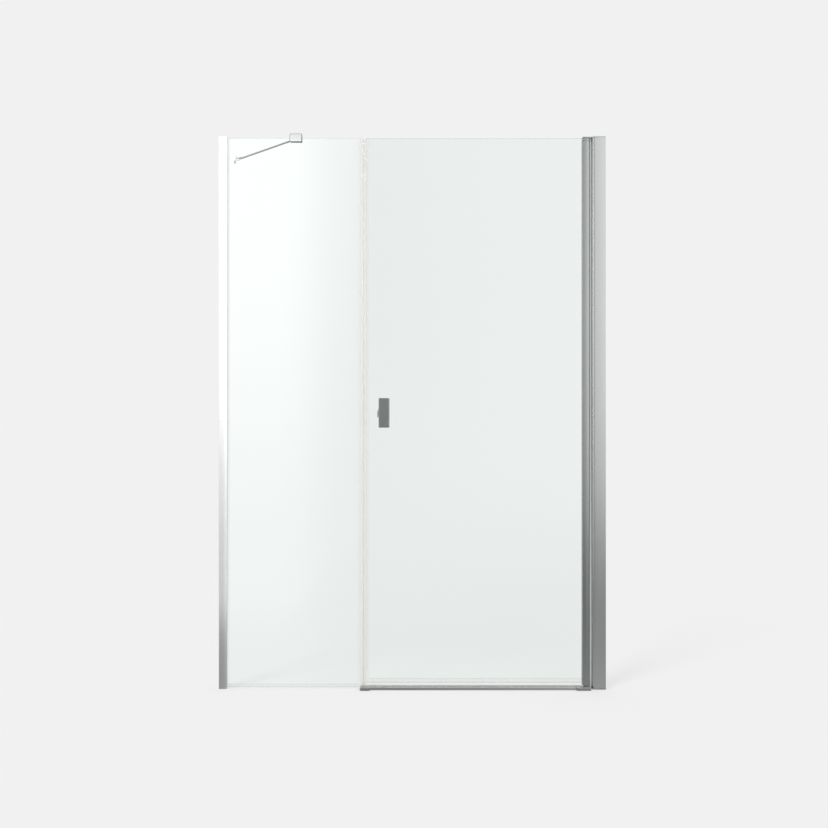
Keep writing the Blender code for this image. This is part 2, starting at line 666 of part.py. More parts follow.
def swivel_hole(pivot):
    low, high = lug_levels()[0] - CUT_OVERRUN, lug_levels()[1] + LUG_THICKNESS + CUT_OVERRUN
    return rod_mesh((pivot.x, pivot.y, low), (pivot.x, pivot.y, high),
                    SWIVEL_PIN_RADIUS + FIT_GAP, SMALL_ROUND_STEPS)


def swivel_pin(name, pivot):
    """Vertical screw through a fork and the bar's eye."""
    bottom, top = lug_levels()[0], lug_levels()[1] + LUG_THICKNESS + FIT_GAP
    head_top = top + SWIVEL_HEAD_HEIGHT
    profile = [(0.0, head_top), (SWIVEL_HEAD_RADIUS, head_top), (SWIVEL_HEAD_RADIUS, top),
               (SWIVEL_PIN_RADIUS, top), (SWIVEL_PIN_RADIUS, bottom), (0.0, bottom)]
    turned(name, profile, along_z(0.0, pivot.x, pivot.y), "steel", steps=SMALL_ROUND_STEPS)


def bar_eye(name, pivot, direction):
    """Flat eye on the swivel pin, with a collar and a plug that enters the tube."""
    outline = tongue_outline(EYE_NECK + EYE_COLLAR / 2)
    hole = circle((0.0, 0.0), SWIVEL_PIN_RADIUS + FIT_GAP, SMALL_ROUND_STEPS)
    at = facing(pivot, direction, BAR_HEIGHT - EYE_THICKNESS / 2)
    eye = solid(name, prism([outline, hole], at, EYE_THICKNESS), "chrome")
    collar_end = EYE_NECK + EYE_COLLAR
    plug_end = collar_end + EYE_PLUG_LENGTH
    plug_radius = BAR_RADIUS - BAR_WALL - FIT_GAP
    add(eye, rod_mesh(pivot + direction * EYE_NECK, pivot + direction * collar_end, BAR_RADIUS),
        rod_mesh(pivot + direction * (collar_end - EYE_COLLAR / 2),
                 pivot + direction * plug_end, plug_radius))


def support_bar():
    run = WALL_PIVOT - CLAMP_PIVOT
    direction = run.normalized()
    inset = EYE_NECK + EYE_COLLAR + FIT_GAP
    start = CLAMP_PIVOT + direction * inset
    turn = direction.to_track_quat("Z", "Y").to_matrix().to_4x4()
    rings = [circle((0.0, 0.0), BAR_RADIUS), circle((0.0, 0.0), BAR_RADIUS - BAR_WALL)]
    bar = solid("support_bar", prism(rings, Matrix.Translation(start) @ turn, run.length - 2 * inset),
                "chrome")
    smooth(bar)
    bar_eye("support_bar_glass_eye", CLAMP_PIVOT, direction)
    bar_eye("support_bar_wall_eye", WALL_PIVOT, -direction)


def wall_bracket():
    """Round base on the side wall, its fork, and the cover over its screws."""
    inner_face = LEFT_WALL_X + FLANGE_THICKNESS
    centre = Vector((LEFT_WALL_X, WALL_PIVOT.y, BAR_HEIGHT))
    base = solid("wall_bracket_base", rod_mesh(centre, (inner_face, centre.y, centre.z), FLANGE_RADIUS),
                 "chrome")
    reach = WALL_PIVOT_STANDOFF - FLANGE_THICKNESS / 2
    to_wall = Vector((-1.0, 0.0, 0.0))
    add(base, *[fork_lug(WALL_PIVOT, to_wall, reach, z) for z in lug_levels()])
    cut(base, swivel_hole(WALL_PIVOT))
    screw_ys = [centre.y + side * FLANGE_HOLE_CIRCLE for side in (-1, 1)]
    cut(base, *[rod_mesh((LEFT_WALL_X - CUT_OVERRUN, y, centre.z), (inner_face + CUT_OVERRUN, y, centre.z),
                         FLANGE_HOLE_RADIUS, SMALL_ROUND_STEPS) for y in screw_ys])
    swivel_pin("wall_bracket_pin", WALL_PIVOT)
    wall, height = FLANGE_COVER_WALL, FLANGE_COVER_HEIGHT
    inner = FLANGE_RADIUS + FLANGE_COVER_CLEARANCE
    outer = inner + wall
    rim = height - wall
    profile = [(FLANGE_COVER_OPENING, height), (inner, height), (outer, rim), (outer, 0.0),
               (inner, 0.0), (inner, rim - FIT_GAP), (FLANGE_COVER_OPENING, rim - FIT_GAP)]
    outward = Matrix.Translation(centre) @ Matrix.Rotation(math.pi / 2, 4, "Y")
    turned("wall_bracket_cover", profile, outward, "chrome", closed=True)


# Right wall channel and hinge post

def post_side(half, left, radius):
    """One path round the post's free side, front to back."""
    return [(RIGHT_WALL_X, -half), *arc((left + radius, -half + radius), radius, -90, -180),
            *arc((left + radius, half - radius), radius, 180, 90), (RIGHT_WALL_X, half)]


def hinge_post():
    outer = post_side(POST_HALF, POST_LEFT_X, POST_SHOULDER_RADIUS)
    inner = post_side(POST_HALF - POST_WALL, POST_LEFT_X + POST_WALL, POST_SHOULDER_RADIUS - POST_WALL)
    length = POST_TOP - POST_BOTTOM
    post = solid("right_hinge_post", prism([outer + inner[::-1]], along_z(POST_BOTTOM), length), "anodised")
    channel = solid("right_wall_channel", prism([channel_outline(
        RIGHT_WALL_X, RIGHT_WALL_X - POST_CHANNEL_REACH, POST_CHANNEL_HALF, POST_WALL)],
        along_z(POST_BOTTOM), length), "anodised")
    screw_x = RIGHT_WALL_X - POST_SCREW_INSET
    screw_heights = heights(PROFILE_SCREW_HEIGHT_SHARES, 0.0, POST_TOP)
    inner_face = POST_CHANNEL_HALF - POST_WALL
    cut(post, *[screw_hole(screw_x, POST_HALF, inner_face, z) for z in screw_heights],
        *[bracket_screw_hole(z) for z in bracket_screw_levels()])
    cut(channel, *[screw_hole(screw_x, POST_HALF, inner_face, z) for z in screw_heights],
        *wall_holes(RIGHT_WALL_X, POST_WALL, POST_TOP))
    profile_screws("right_post_screw", screw_x, POST_HALF, inner_face, screw_heights)
    profile_screws("pivot_bracket_screw", bracket_screw_x(), POST_HALF, bracket_screw_bite(),
                   bracket_screw_levels())
    # The gap seal stands on the post and stops short of the leaf, whose front passes it at full swing
    lip_right = POST_LEFT_X - FIT_GAP
    solid("hinge_gap_seal", box_mesh((lip_right - HINGE_SEAL_WIDTH, -HINGE_SEAL_THICKNESS / 2, POST_BOTTOM),
                                     (lip_right, HINGE_SEAL_THICKNESS / 2, POST_TOP)), "grey_rubber")


def bracket_screw_levels():
    return (BRACKET_THICKNESS + BRACKET_SCREW_DROP, UPPER_BRACKET_FACE - BRACKET_SCREW_DROP)


def bracket_screw_x():
    return (POST_LEFT_X + POST_SHOULDER_RADIUS + RIGHT_WALL_X - POST_CHANNEL_REACH) / 2


def bracket_screw_bite():
    """Depth that a bracket's screw reaches to inside its spigot."""
    return POST_HALF - POST_WALL - BRACKET_SCREW_BITE


def bracket_screw_hole(z):
    return screw_hole(bracket_screw_x(), POST_HALF, bracket_screw_bite(), z)


# Turning profile and its two pivots

def turning_outline(pocket_half):
    """Section with the axis at zero: round towards the post, with a pocket for the glass."""
    left = BARREL_RADIUS - TURNING_PROFILE_WIDTH
    corner = TURNING_CORNER_RADIUS
    floor = -GLASS_TO_AXIS + FIT_GAP
    half_turn = arc((0.0, 0.0), BARREL_RADIUS, -90, 90, 3 * ARC_STEPS)
    rear = arc((left + corner, BARREL_RADIUS - corner), corner, 90, 180, 2)
    front = arc((left + corner, -BARREL_RADIUS + corner), corner, 180, 270, 2)
    return [*half_turn, *rear, (left, pocket_half), (floor, pocket_half),
            (floor, -pocket_half), (left, -pocket_half), *front]


def turning_profile():
    length = TURNING_TOP - TURNING_BOTTOM
    bore = circle((0.0, 0.0), TURNING_BORE_RADIUS, SMALL_ROUND_STEPS)
    outline = turning_outline(GLASS_POCKET_HALF)
    solid("door_turning_profile", prism([outline, bore], along_z(TURNING_BOTTOM, AXIS_X), length),
          "anodised")
    strip = rectangle(TURNING_LEFT_X, -GLASS_POCKET_HALF + FIT_GAP, DOOR_GLASS_RIGHT, -SEAL_INNER_HALF)
    for name, section in (("door_gasket_front", strip), ("door_gasket_rear", mirrored(strip))):
        solid(name, prism([section], along_z(TURNING_BOTTOM), length), "black_rubber")


def plate_outline():
    """Plan of a pivot bracket: the post's plan with a tongue that reaches past the turning profile."""
    radius = POST_SHOULDER_RADIUS
    rise = BARREL_RADIUS - (POST_HALF - radius)
    meet = math.degrees(math.asin(rise / radius))
    shoulder = arc((POST_LEFT_X + radius, -POST_HALF + radius), radius, -90, -180 + meet)
    corner = TURNING_CORNER_RADIUS
    tip = arc((TURNING_LEFT_X + corner, -BARREL_RADIUS + corner), corner, -90, -180, 2)
    front = [(RIGHT_WALL_X, -POST_HALF), *shoulder, *tip]
    return front + mirrored(front)[::-1]


def spigot(low, high):
    """Block inside the hollow post that the bracket's screw bites."""
    half = POST_HALF - POST_WALL - FIT_GAP
    left = POST_LEFT_X + POST_SHOULDER_RADIUS
    right = RIGHT_WALL_X - POST_CHANNEL_REACH - FIT_GAP
    return box_mesh((left, -half, low), (right, half, high))


def pivot_bracket(name, plate_bottom, inner_face, inward):
    """Fixed plate with the pivot's hole, closed over the post's end."""
    plate = solid(name, prism([plate_outline()], along_z(plate_bottom), BRACKET_THICKNESS), "grey_plastic")
    middle = plate_bottom + BRACKET_THICKNESS / 2
    plate_face = middle + inward * BRACKET_THICKNESS / 2
    add(plate, spigot(*sorted((middle, plate_face + inward * BRACKET_SPIGOT_LENGTH))))
    if inner_face != plate_face:
        add(plate, rod_mesh((AXIS_X, 0.0, middle), (AXIS_X, 0.0, inner_face), BARREL_RADIUS - FIT_GAP))
    cut(plate, rod_mesh((AXIS_X, 0.0, plate_bottom - CUT_OVERRUN),
                        (AXIS_X, 0.0, max(inner_face, plate_bottom + BRACKET_THICKNESS) + CUT_OVERRUN),
                        PIVOT_RADIUS + FIT_GAP))
    cut(plate, bracket_screw_hole(plate_face + inward * BRACKET_SCREW_DROP))


def hinge_end(side, plate_bottom, inner_face, inward):
    """Bracket, pivot pin, bush and moulded cap at one end of the turning profile."""
    pivot_bracket(side + "_pivot_bracket", plate_bottom, inner_face, inward)
    far = plate_bottom + (0.0 if inward > 0 else BRACKET_THICKNESS)
    axis = [Vector((AXIS_X, 0.0, inner_face + inward * offset)) for offset in (
        PIVOT_REACH, FIT_GAP, FIT_GAP + BUSH_FLANGE_THICKNESS, CAP_START, CAP_START + BUSH_DEPTH, CAP_END)]
    pin_tip, flange_start, flange_end, cap_start, bush_end, cap_end = axis
    along = Vector((0.0, 0.0, inward))
    solid(side + "_pivot_pin", rod_mesh((AXIS_X, 0.0, far), pin_tip, PIVOT_RADIUS), "steel")
    bush = solid(side + "_pivot_bush", rod_mesh(flange_start, flange_end, BUSH_FLANGE_RADIUS),
                 "white_plastic")
    add(bush, rod_mesh(flange_start + along * FIT_GAP, bush_end, BUSH_RADIUS))
    cut(bush, rod_mesh(flange_start - along * CUT_OVERRUN, bush_end + along * CUT_OVERRUN,
                       PIVOT_RADIUS + FIT_GAP))
    cap_low = min(cap_start.z, cap_end.z)
    cap = solid(side + "_hinge_cap", prism([turning_outline(SEAL_INNER_HALF)], along_z(cap_low, AXIS_X),
                                           HINGE_CAP_HEIGHT), "grey_plastic")
    add(cap, rod_mesh((cap_end + bush_end) / 2, cap_end + along * HINGE_PLUG_LENGTH,
                      TURNING_BORE_RADIUS - FIT_GAP, SMALL_ROUND_STEPS))
    cut(cap, rod_mesh(cap_start - along * CUT_OVERRUN, bush_end + along * FIT_GAP, BUSH_RADIUS + FIT_GAP))


# Door leaf

def door_leaf():
    glass = pane("door_glass", DOOR_GLASS_LEFT, DOOR_GLASS_RIGHT, DOOR_GLASS_BOTTOM, DOOR_GLASS_TOP)
    cut(glass, *[rod_mesh((HANDLE_X, -GLASS_THICKNESS, z), (HANDLE_X, GLASS_THICKNESS, z),
                          HANDLE_GLASS_HOLE_RADIUS) for z in handle_levels()])
    closing_seal("door", DOOR_GLASS_LEFT, math.pi, SWEEP_BOTTOM + SWEEP_BASE, DOOR_GLASS_TOP)
    base_top = DOOR_GLASS_BOTTOM - FIT_GAP
    base_bottom = SWEEP_BASE_BOTTOM
    half_lip = SWEEP_LIP_THICKNESS / 2
    lip = ((-half_lip, base_bottom), (-half_lip, SWEEP_BOTTOM), (half_lip, SWEEP_BOTTOM),
           (half_lip, base_bottom))
    outline = edge_channel(base_bottom, base_top, DOOR_GLASS_BOTTOM + SWEEP_GRIP, lip)
    left = DOOR_GLASS_LEFT + SEAL_GRIP + FIT_GAP
    solid("door_sweep_seal", prism([outline], along_x(left), TURNING_LEFT_X - FIT_GAP - left),
          "clear_vinyl")


def handle_levels():
    return [HANDLE_CENTRE_HEIGHT + side * HANDLE_POST_SPACING / 2 for side in (-1, 1)]


def handle_half(name, side):
    """A plate with bevelled edges, cast in one with the two round posts that carry it."""
    half_width, half_height = HANDLE_WIDTH / 2, HANDLE_HEIGHT / 2
    near, far = sorted((side * HANDLE_FACE, side * (HANDLE_FACE + HANDLE_PLATE)))
    plate = solid(name, box_mesh((HANDLE_X - half_width, near, HANDLE_CENTRE_HEIGHT - half_height),
                                 (HANDLE_X + half_width, far, HANDLE_CENTRE_HEIGHT + half_height)),
                  "satin_chrome")
    round_edges(plate, HANDLE_CHAMFER, 2)
    add(plate, *[across(z, side * HANDLE_POST_START, side * (HANDLE_FACE + HANDLE_PLATE / 2),
                        HANDLE_POST_RADIUS) for z in handle_levels()])
    return plate


def across_frame(z):
    """Frame on a handle bolt's line, with its Z axis to the back."""
    return Matrix.Translation((HANDLE_X, 0.0, z)) @ Matrix.Rotation(-math.pi / 2, 4, "X")


def across(z, start, end, radius, steps=ROUND_STEPS):
    """Cylinder on a handle bolt's line, between two depths."""
    return rod_mesh((HANDLE_X, start, z), (HANDLE_X, end, z), radius, steps)


def handle():
    """Outer and inner handle, with bolts and soft grommets through the glass."""
    outer = handle_half("handle_outer", -1)
    add(outer, thumb_lip())
    inner = handle_half("handle_inner", 1)
    back = HANDLE_FACE + HANDLE_PLATE
    head_floor = back - HANDLE_BOLT_HEAD_DEPTH - FIT_GAP
    bore = HANDLE_BOLT_RADIUS + FIT_GAP
    for z in handle_levels():
        cut(outer, across(z, -HANDLE_FACE, 0.0, bore, SMALL_ROUND_STEPS))
    recess = HANDLE_BOLT_HEAD_RADIUS + FIT_GAP
    bolt_way = [(0.0, 0.0), (bore, 0.0), (bore, head_floor), (recess, head_floor),
                (recess, back + CUT_OVERRUN), (0.0, back + CUT_OVERRUN)]
    cut(inner, *[turned_mesh(bolt_way, across_frame(z), SMALL_ROUND_STEPS) for z in handle_levels()])
    inner_flange = GLASS_HALF + FIT_GAP
    outer_flange = inner_flange + HANDLE_GROMMET_FLANGE
    sleeve = HANDLE_GLASS_HOLE_RADIUS - FIT_GAP
    flange = HANDLE_GROMMET_RADIUS
    grommet = [(flange, outer_flange), (flange, inner_flange), (sleeve, inner_flange),
               (sleeve, -inner_flange), (flange, -inner_flange), (flange, -outer_flange),
               (bore, -outer_flange), (bore, outer_flange)]
    head = HANDLE_BOLT_HEAD_RADIUS
    shank = HANDLE_BOLT_RADIUS
    seat = head_floor + FIT_GAP
    tip = -HANDLE_FACE + FIT_GAP
    bolt = [(0.0, back), (head, back), (head, seat), (shank, seat), (shank, tip), (0.0, tip)]
    for place, z in zip(("lower", "upper"), handle_levels()):
        at = across_frame(z)
        turned(f"handle_{place}_grommet", grommet, at, "clear_vinyl", closed=True)
        turned(f"handle_{place}_bolt", bolt, at, "steel", steps=SMALL_ROUND_STEPS)


def thumb_lip():
    """Small lip for the thumb on the closing side of the outer plate, tapered at its top."""
    edge = HANDLE_X - HANDLE_WIDTH / 2
    low = HANDLE_CENTRE_HEIGHT - THUMB_LIP_HEIGHT / 2
    high = HANDLE_CENTRE_HEIGHT + THUMB_LIP_HEIGHT / 2
    root = edge + 2 * HANDLE_CHAMFER
    outline = [(root, low), (root, high), (edge, high),
               (edge - THUMB_LIP_REACH, high - THUMB_LIP_TAPER), (edge - THUMB_LIP_REACH, low)]
    rear = -HANDLE_FACE - (HANDLE_PLATE - THUMB_LIP_THICKNESS) / 2
    return prism([outline], along_minus_y(rear), THUMB_LIP_THICKNESS)


# Threshold

def threshold():
    nose = (-THRESHOLD_FRONT + THRESHOLD_NOSE_RADIUS, THRESHOLD_NOSE_HEIGHT - THRESHOLD_NOSE_RADIUS)
    outline = [(THRESHOLD_BACK, 0.0), (THRESHOLD_BACK, THRESHOLD_HEIGHT),
               (-THRESHOLD_SLOPE_END, THRESHOLD_HEIGHT), *arc(nose, THRESHOLD_NOSE_RADIUS, 90, 180),
               (-THRESHOLD_FRONT, 0.0)]
    wall = THRESHOLD_WALL
    room = [(THRESHOLD_BACK - wall, wall), (THRESHOLD_BACK - wall, THRESHOLD_HEIGHT - wall),
            (-THRESHOLD_SLOPE_END, THRESHOLD_HEIGHT - wall), (nose[0], THRESHOLD_NOSE_HEIGHT - wall),
            (-THRESHOLD_FRONT + wall, nose[1]), (-THRESHOLD_FRONT + wall, wall)]
    length = THRESHOLD_RIGHT - THRESHOLD_LEFT
    solid("threshold_bar", prism([outline, room], along_x(THRESHOLD_LEFT), length), "anodised")
    seal_line = SIDE_GLASS_RIGHT + EDGE_DISTANCE / 2 - MEETING_GAP / 2 + FIT_GAP
    end_piece("threshold_left_end", LEFT_END_PIECE_X, seal_line, THRESHOLD_LEFT - FIT_GAP, SEAL_OUTER_HALF)
    end_piece("threshold_right_end", RIGHT_END_PIECE_X, TURNING_LEFT_X - FIT_GAP, THRESHOLD_RIGHT + FIT_GAP,
              BARREL_RADIUS)


def end_piece(name, front_end, step, inner_end, clear_of):
    """Moulded end: its front laps past the bar's end, and steps back around what stands behind."""
    away = math.copysign(1.0, front_end - inner_end)
    corner = END_PIECE_CORNER
    centre = (front_end - away * corner, -END_PIECE_FRONT + corner)
    bend = arc(centre, corner, 0, -90) if away > 0 else arc(centre, corner, 180, 270)
    outline = [(inner_end, THRESHOLD_BACK), (step, THRESHOLD_BACK), (step, -clear_of - FIT_GAP),
               (front_end, -clear_of - FIT_GAP), *bend, (inner_end, -END_PIECE_FRONT)]
    piece = solid(name, prism([outline], along_z(0.0), END_PIECE_HEIGHT), "grey_plastic")
    round_edges(piece, END_PIECE_ROUNDING, 2)


# Moving groups

MOVING_GROUPS = {
    "door": (Vector((AXIS_X, 0.0, 0.0)), (
        "door_glass", "door_turning_profile", "door_gasket_front", "door_gasket_rear",
        "upper_hinge_cap", "lower_hinge_cap", "upper_pivot_bush", "lower_pivot_bush",
        "door_closing_seal", "door_magnet_strip", "door_sweep_seal", "handle_outer", "handle_inner",
        "handle_lower_grommet", "handle_upper_grommet", "handle_lower_bolt", "handle_upper_bolt")),
    "bar": (CLAMP_PIVOT, ("support_bar", "support_bar_glass_eye", "support_bar_wall_eye")),
    "wall_mounting": (WALL_PIVOT, ("wall_bracket_base", "wall_bracket_cover", "wall_bracket_pin")),
}


def group_on_axes():
    """Each moving group hangs from an empty on its turning axis."""
    for name, (place, members) in MOVING_GROUPS.items():
        pivot = bpy.data.objects.new(name + "_axis", None)
        PARTS.objects.link(pivot)
        pivot.location = place
        bpy.context.view_layer.update()
        for member in members:
            obj = bpy.data.objects[member]
            obj.parent = pivot
            obj.matrix_parent_inverse = pivot.matrix_world.inverted()


for old in list(bpy.data.objects):
    bpy.data.objects.remove(old)
PARTS = collection("shower_door_with_side_panel")
CUTTERS = collection("cutters")
left_profiles()
left_gaskets()
left_setting_blocks()
left_top_cap()
side_panel()
clamp()
support_bar()
wall_bracket()
hinge_post()
turning_profile()
hinge_end("upper", UPPER_BRACKET_FACE, UPPER_BRACKET_FACE, -1)
hinge_end("lower", 0.0, LOWER_BOSS_TOP, 1)
door_leaf()
handle()
threshold()
group_on_axes()
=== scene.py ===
"""Looks for a niche shower enclosure: a pivoting glass door and a fixed glass side panel.

X runs to the right along the front, Y runs back into the shower, Z is up, all in metres.
"""

import json
import math

import bmesh
import bpy
from mathutils import Matrix, Vector


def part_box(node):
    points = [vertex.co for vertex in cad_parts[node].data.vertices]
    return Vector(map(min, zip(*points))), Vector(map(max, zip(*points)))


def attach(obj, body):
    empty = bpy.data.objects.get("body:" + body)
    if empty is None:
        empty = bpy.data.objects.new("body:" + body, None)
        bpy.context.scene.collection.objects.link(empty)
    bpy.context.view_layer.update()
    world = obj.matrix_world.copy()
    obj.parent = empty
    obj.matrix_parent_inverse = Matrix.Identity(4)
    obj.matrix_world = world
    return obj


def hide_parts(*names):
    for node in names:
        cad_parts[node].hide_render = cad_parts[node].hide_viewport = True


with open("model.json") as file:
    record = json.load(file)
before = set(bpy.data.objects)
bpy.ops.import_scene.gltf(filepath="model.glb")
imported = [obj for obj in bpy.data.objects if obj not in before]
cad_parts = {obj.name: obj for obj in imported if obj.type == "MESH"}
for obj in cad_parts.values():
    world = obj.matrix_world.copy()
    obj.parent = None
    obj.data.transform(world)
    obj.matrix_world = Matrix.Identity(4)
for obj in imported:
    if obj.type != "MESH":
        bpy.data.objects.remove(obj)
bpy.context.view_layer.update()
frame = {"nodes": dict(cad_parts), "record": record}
MM = 0.001


# Colour and node helpers

def linear(code):
    """An sRGB hex colour as the linear values that shaders take."""
    parts = [int(code[i:i + 2], 16) / 255 for i in (0, 2, 4)]
    return (*[c / 12.92 if c <= 0.04045 else ((c + 0.055) / 1.055) ** 2.4 for c in parts], 1.0)


def grey(value):
    """A grey as a colour, in linear light."""
    return (value, value, value, 1.0)


def wire(tree, node, inputs):
    """Sets a node's inputs, each to a plain value, a node or one of a node's outputs."""
    for key, value in inputs.items():
        if isinstance(value, bpy.types.Node):
            value = value.outputs[0]
        if isinstance(value, bpy.types.NodeSocket):
            tree.links.new(value, node.inputs[key])
        else:
            node.inputs[key].default_value = value


def add_node(tree, kind, inputs=None, stops=(), **settings):
    """One node with its settings and links. Stops are (position, grey value) pairs for a colour ramp."""
    made = tree.nodes.new(kind)
    for key, value in settings.items():
        setattr(made, key, value)
    for _ in stops[2:]:
        made.color_ramp.elements.new(1.0)
    for place, (position, value) in enumerate(stops):
        made.color_ramp.elements[place].position = position
        made.color_ramp.elements[place].color = grey(value)
    wire(tree, made, inputs or {})
    return made


def new_material(name):
    """A new material, its node tree and its main shader."""
    made = bpy.data.materials.new(name)
    made.use_nodes = True
    return made, made.node_tree, made.node_tree.nodes["Principled BSDF"]


def pattern(tree, spots, detail=2.0):
    """Noise on the piece's own coordinates, its spots so many millimetres long along X, Y and Z."""
    place = add_node(tree, "ShaderNodeTexCoord")
    sized = add_node(tree, "ShaderNodeMapping", {
        "Vector": place.outputs["Object"], "Scale": tuple(1 / (size * MM) for size in spots)})
    return add_node(tree, "ShaderNodeTexNoise", {"Vector": sized, "Scale": 1.0, "Detail": detail})


# Most of a noise pattern's values lie in this part of its range
MID_NOISE = {"From Min": 0.3, "From Max": 0.7}


def surface(name, spots, colours, gloss, shading, detail=2.0, relief=0.0, reach=MID_NOISE, cloud=None):
    """A material whose colour, gloss and relief follow one pattern of these spots, or its colour a
    second, broader one, the cloud. Gloss is the roughness at both ends of the pattern's reach, relief
    its height in millimetres, and shading the values that stay the same all over."""
    made, tree, shader = new_material(name)
    fine = pattern(tree, spots, detail)
    first, second = colours
    colour = add_node(tree, "ShaderNodeMix", {0: pattern(tree, cloud) if cloud else fine,
                                              6: linear(first), 7: linear(second)}, data_type="RGBA")
    wire(tree, shader, {"Base Color": colour.outputs[2], **shading})
    if gloss:
        smooth, rough = gloss
        wire(tree, shader, {"Roughness": add_node(tree, "ShaderNodeMapRange", {
            "Value": fine, **reach, "To Min": smooth, "To Max": rough})})
    if relief:
        wire(tree, shader, {"Normal": add_node(tree, "ShaderNodeBump", {
            "Height": fine, "Distance": relief * MM})})
    return made


# Metals

METAL = {"Metallic": 1.0}


def anodised_aluminium(name, along, *colours):
    """Extruded aluminium, satin etched and anodised. The eye gets an even silver with a soft gleam and
    faint die lines along the length, drawn 1.5 mm apart instead of 0.2 so that they show."""
    lines = {"X": (600.0, 1.5, 1.5), "Z": (1.5, 1.5, 600.0)}[along]
    return surface(name, lines, colours, (0.22, 0.27), METAL, detail=3.0, relief=0.0008,
                   cloud=(80.0, 80.0, 300.0))


def polished_chrome():
    """Brass, polished and chrome plated: a bright mirror, with the faint swirl of the polishing wheel and
    wiped smears, 8 by 20 mm, in its gloss."""
    return surface("polished chrome plate", (8.0, 8.0, 20.0), ("D6D8D9", "CDCFD0"), (0.08, 0.14), METAL,
                   detail=4.0)


def satin_chrome():
    """Zinc casting, linished upright and satin chrome plated: a soft, deep silver with short brush lines,
    drawn 0.6 mm apart instead of 0.1 so that they show."""
    return surface("satin chrome plate", (0.6, 0.6, 25.0), ("A6A9A7", "9EA19F"), (0.20, 0.27), METAL,
                   detail=4.0, relief=0.0006)


def satin_chrome_clamp():
    """The bar's clamp, tumbled before plating: a softer satin than the handle's, its fine dimples drawn
    1 mm across so that they show."""
    return surface("tumbled satin chrome plate", (1.0, 1.0, 1.0), ("949696", "8D8F8F"), (0.30, 0.36),
                   METAL)


def stainless_steel():
    """Stainless screws and pins, turned and tumbled: mid grey, with fine marks drawn 0.4 mm wide."""
    return surface("turned stainless steel", (0.4, 1.6, 0.4), ("B4B5B6", "A0A1A2"), (0.25, 0.38), METAL)


# Glass

def float_glass():
    """Toughened soda-lime float glass. The faces look clear with a slight cool green, and the furnace's
    rollers leave a broad, very shallow wave that only reflections show."""
    return surface("toughened float glass", (600.0, 300.0, 260.0), ("F9FDFB", "F8FCFB"), None,
                   {"Roughness": 0.0, "IOR": 1.52, "Transmission Weight": 1.0}, detail=1.0, relief=0.02)


def polished_glass_edge():
    """The same glass at its rim, where the light comes a long way through it: ground and polished, pale
    green, a little milky from the wheel's marks along the edge."""
    return surface("ground and polished glass edge", (5.0, 0.8, 5.0), ("E6F5EF", "DAEEE5"), (0.15, 0.30),
                   {"IOR": 1.52, "Transmission Weight": 0.9}, reach={})


# Plastics and rubber

def clear_vinyl():
    """Extruded clear PVC: water-clear walls gone faintly warm, softened by lines from the die."""
    return surface("clear extruded vinyl", (2.0, 2.0, 300.0), ("FEFEFD", "FDFDFB"), (0.06, 0.14),
                   {"IOR": 1.53, "Transmission Weight": 1.0}, reach={})


def magnet_strip():
    """Ferrite-filled strip in a white skin, pale and dull, and slightly see-through at its thin rims."""
    return surface("white skinned magnetic strip", (2.0, 2.0, 60.0), ("FDFCFA", "FBFAF7"), (0.45, 0.60),
                   {"Transmission Weight": 0.30}, reach={})


def extruded_rubber(name, *colours):
    """Extruded EPDM or soft TPE: dull, with a dusty bloom."""
    return surface(name, (4.0, 4.0, 60.0), colours, (0.55, 0.80), {}, detail=4.0, reach={})


def moulded_plastic(name, *colours):
    """Injection-moulded ABS or nylon with a fine eroded grain, drawn 0.6 mm across so that it shows."""
    return surface(name, (0.6, 0.6, 0.6), colours, (0.34, 0.46), {}, relief=0.004)


def silver_lacquer(name, *colours):
    """Moulded ABS ends in a silver metallic lacquer that matches the aluminium: the flake gives a soft
    metal sheen, drawn 0.8 mm across so that it shows."""
    return surface(name, (0.8, 0.8, 0.8), colours, (0.28, 0.36), METAL)


FINISH = {
    "anodised": anodised_aluminium("pale satin anodised aluminium", "Z", "DCDEDE", "D6D8D8"),
    "anodised_leaf": anodised_aluminium("deeper satin anodised aluminium", "Z", "B9BBBB", "B4B6B6"),
    "anodised_lying": anodised_aluminium("pale anodised aluminium lying", "X", "D0D2D2", "CACCCC"),
    "chrome": polished_chrome(),
    "handle_metal": satin_chrome(),
    "satin_clamp": satin_chrome_clamp(),
    "steel": stainless_steel(),
    "glass": float_glass(),
    "glass_edge": polished_glass_edge(),
    "clear_seal": clear_vinyl(),
    "magnet": magnet_strip(),
    "rubber": extruded_rubber("extruded black rubber", "2A2B2C", "3A3B3C"),
    "soft_grey": extruded_rubber("extruded grey soft seal", "CFD1D1", "C6C8C8"),
    "pale_seal": extruded_rubber("extruded pale soft seal", "ECEDED", "E4E5E5"),
    "silver_plastic": silver_lacquer("pale silver lacquered plastic", "D6D8D8", "CDCFCF"),
    # Deeper silver: on the turning caps it is their own tone beside the deeper leaf profile, and on the
    # lower pivot plate and the threshold's end covers it is painted shade, for pieces that stand low by the
    # floor.
    "deeper_silver_leaf_and_shade": silver_lacquer("deeper silver lacquer, in part painted shade", "B2B4B4", "AAACAC"),
    "grey_plastic": moulded_plastic("grey moulded plastic", "7E8183", "76797B"),
    "white_plastic": moulded_plastic("white moulded nylon", "E2E2DE", "D8D8D3"),
}


# Making shapes

ARC_STEPS = 24
ROUND_STEPS = 64
EDGE = 0.25 * MM
SHARP = math.radians(40)
NEAR = 1e-6
SAME_POINT = 1e-7


def rising(x=0.0, y=0.0, z=0.0):
    """Section X and Y stay X and Y, and the length rises."""
    return Matrix.Translation((x, y, z))


def rightwards(x=0.0, y=0.0, z=0.0):
    """Section X and Y become Y and Z, and the length runs right."""
    return Matrix.Translation((x, y, z)) @ Matrix(((0, 0, 1), (1, 0, 0), (0, 1, 0))).to_4x4()


def backwards(x=0.0, y=0.0, z=0.0):
    """Section X stays X, section Y points down, and the length runs back."""
    return Matrix.Translation((x, y, z)) @ Matrix.Rotation(-math.pi / 2, 4, "X")


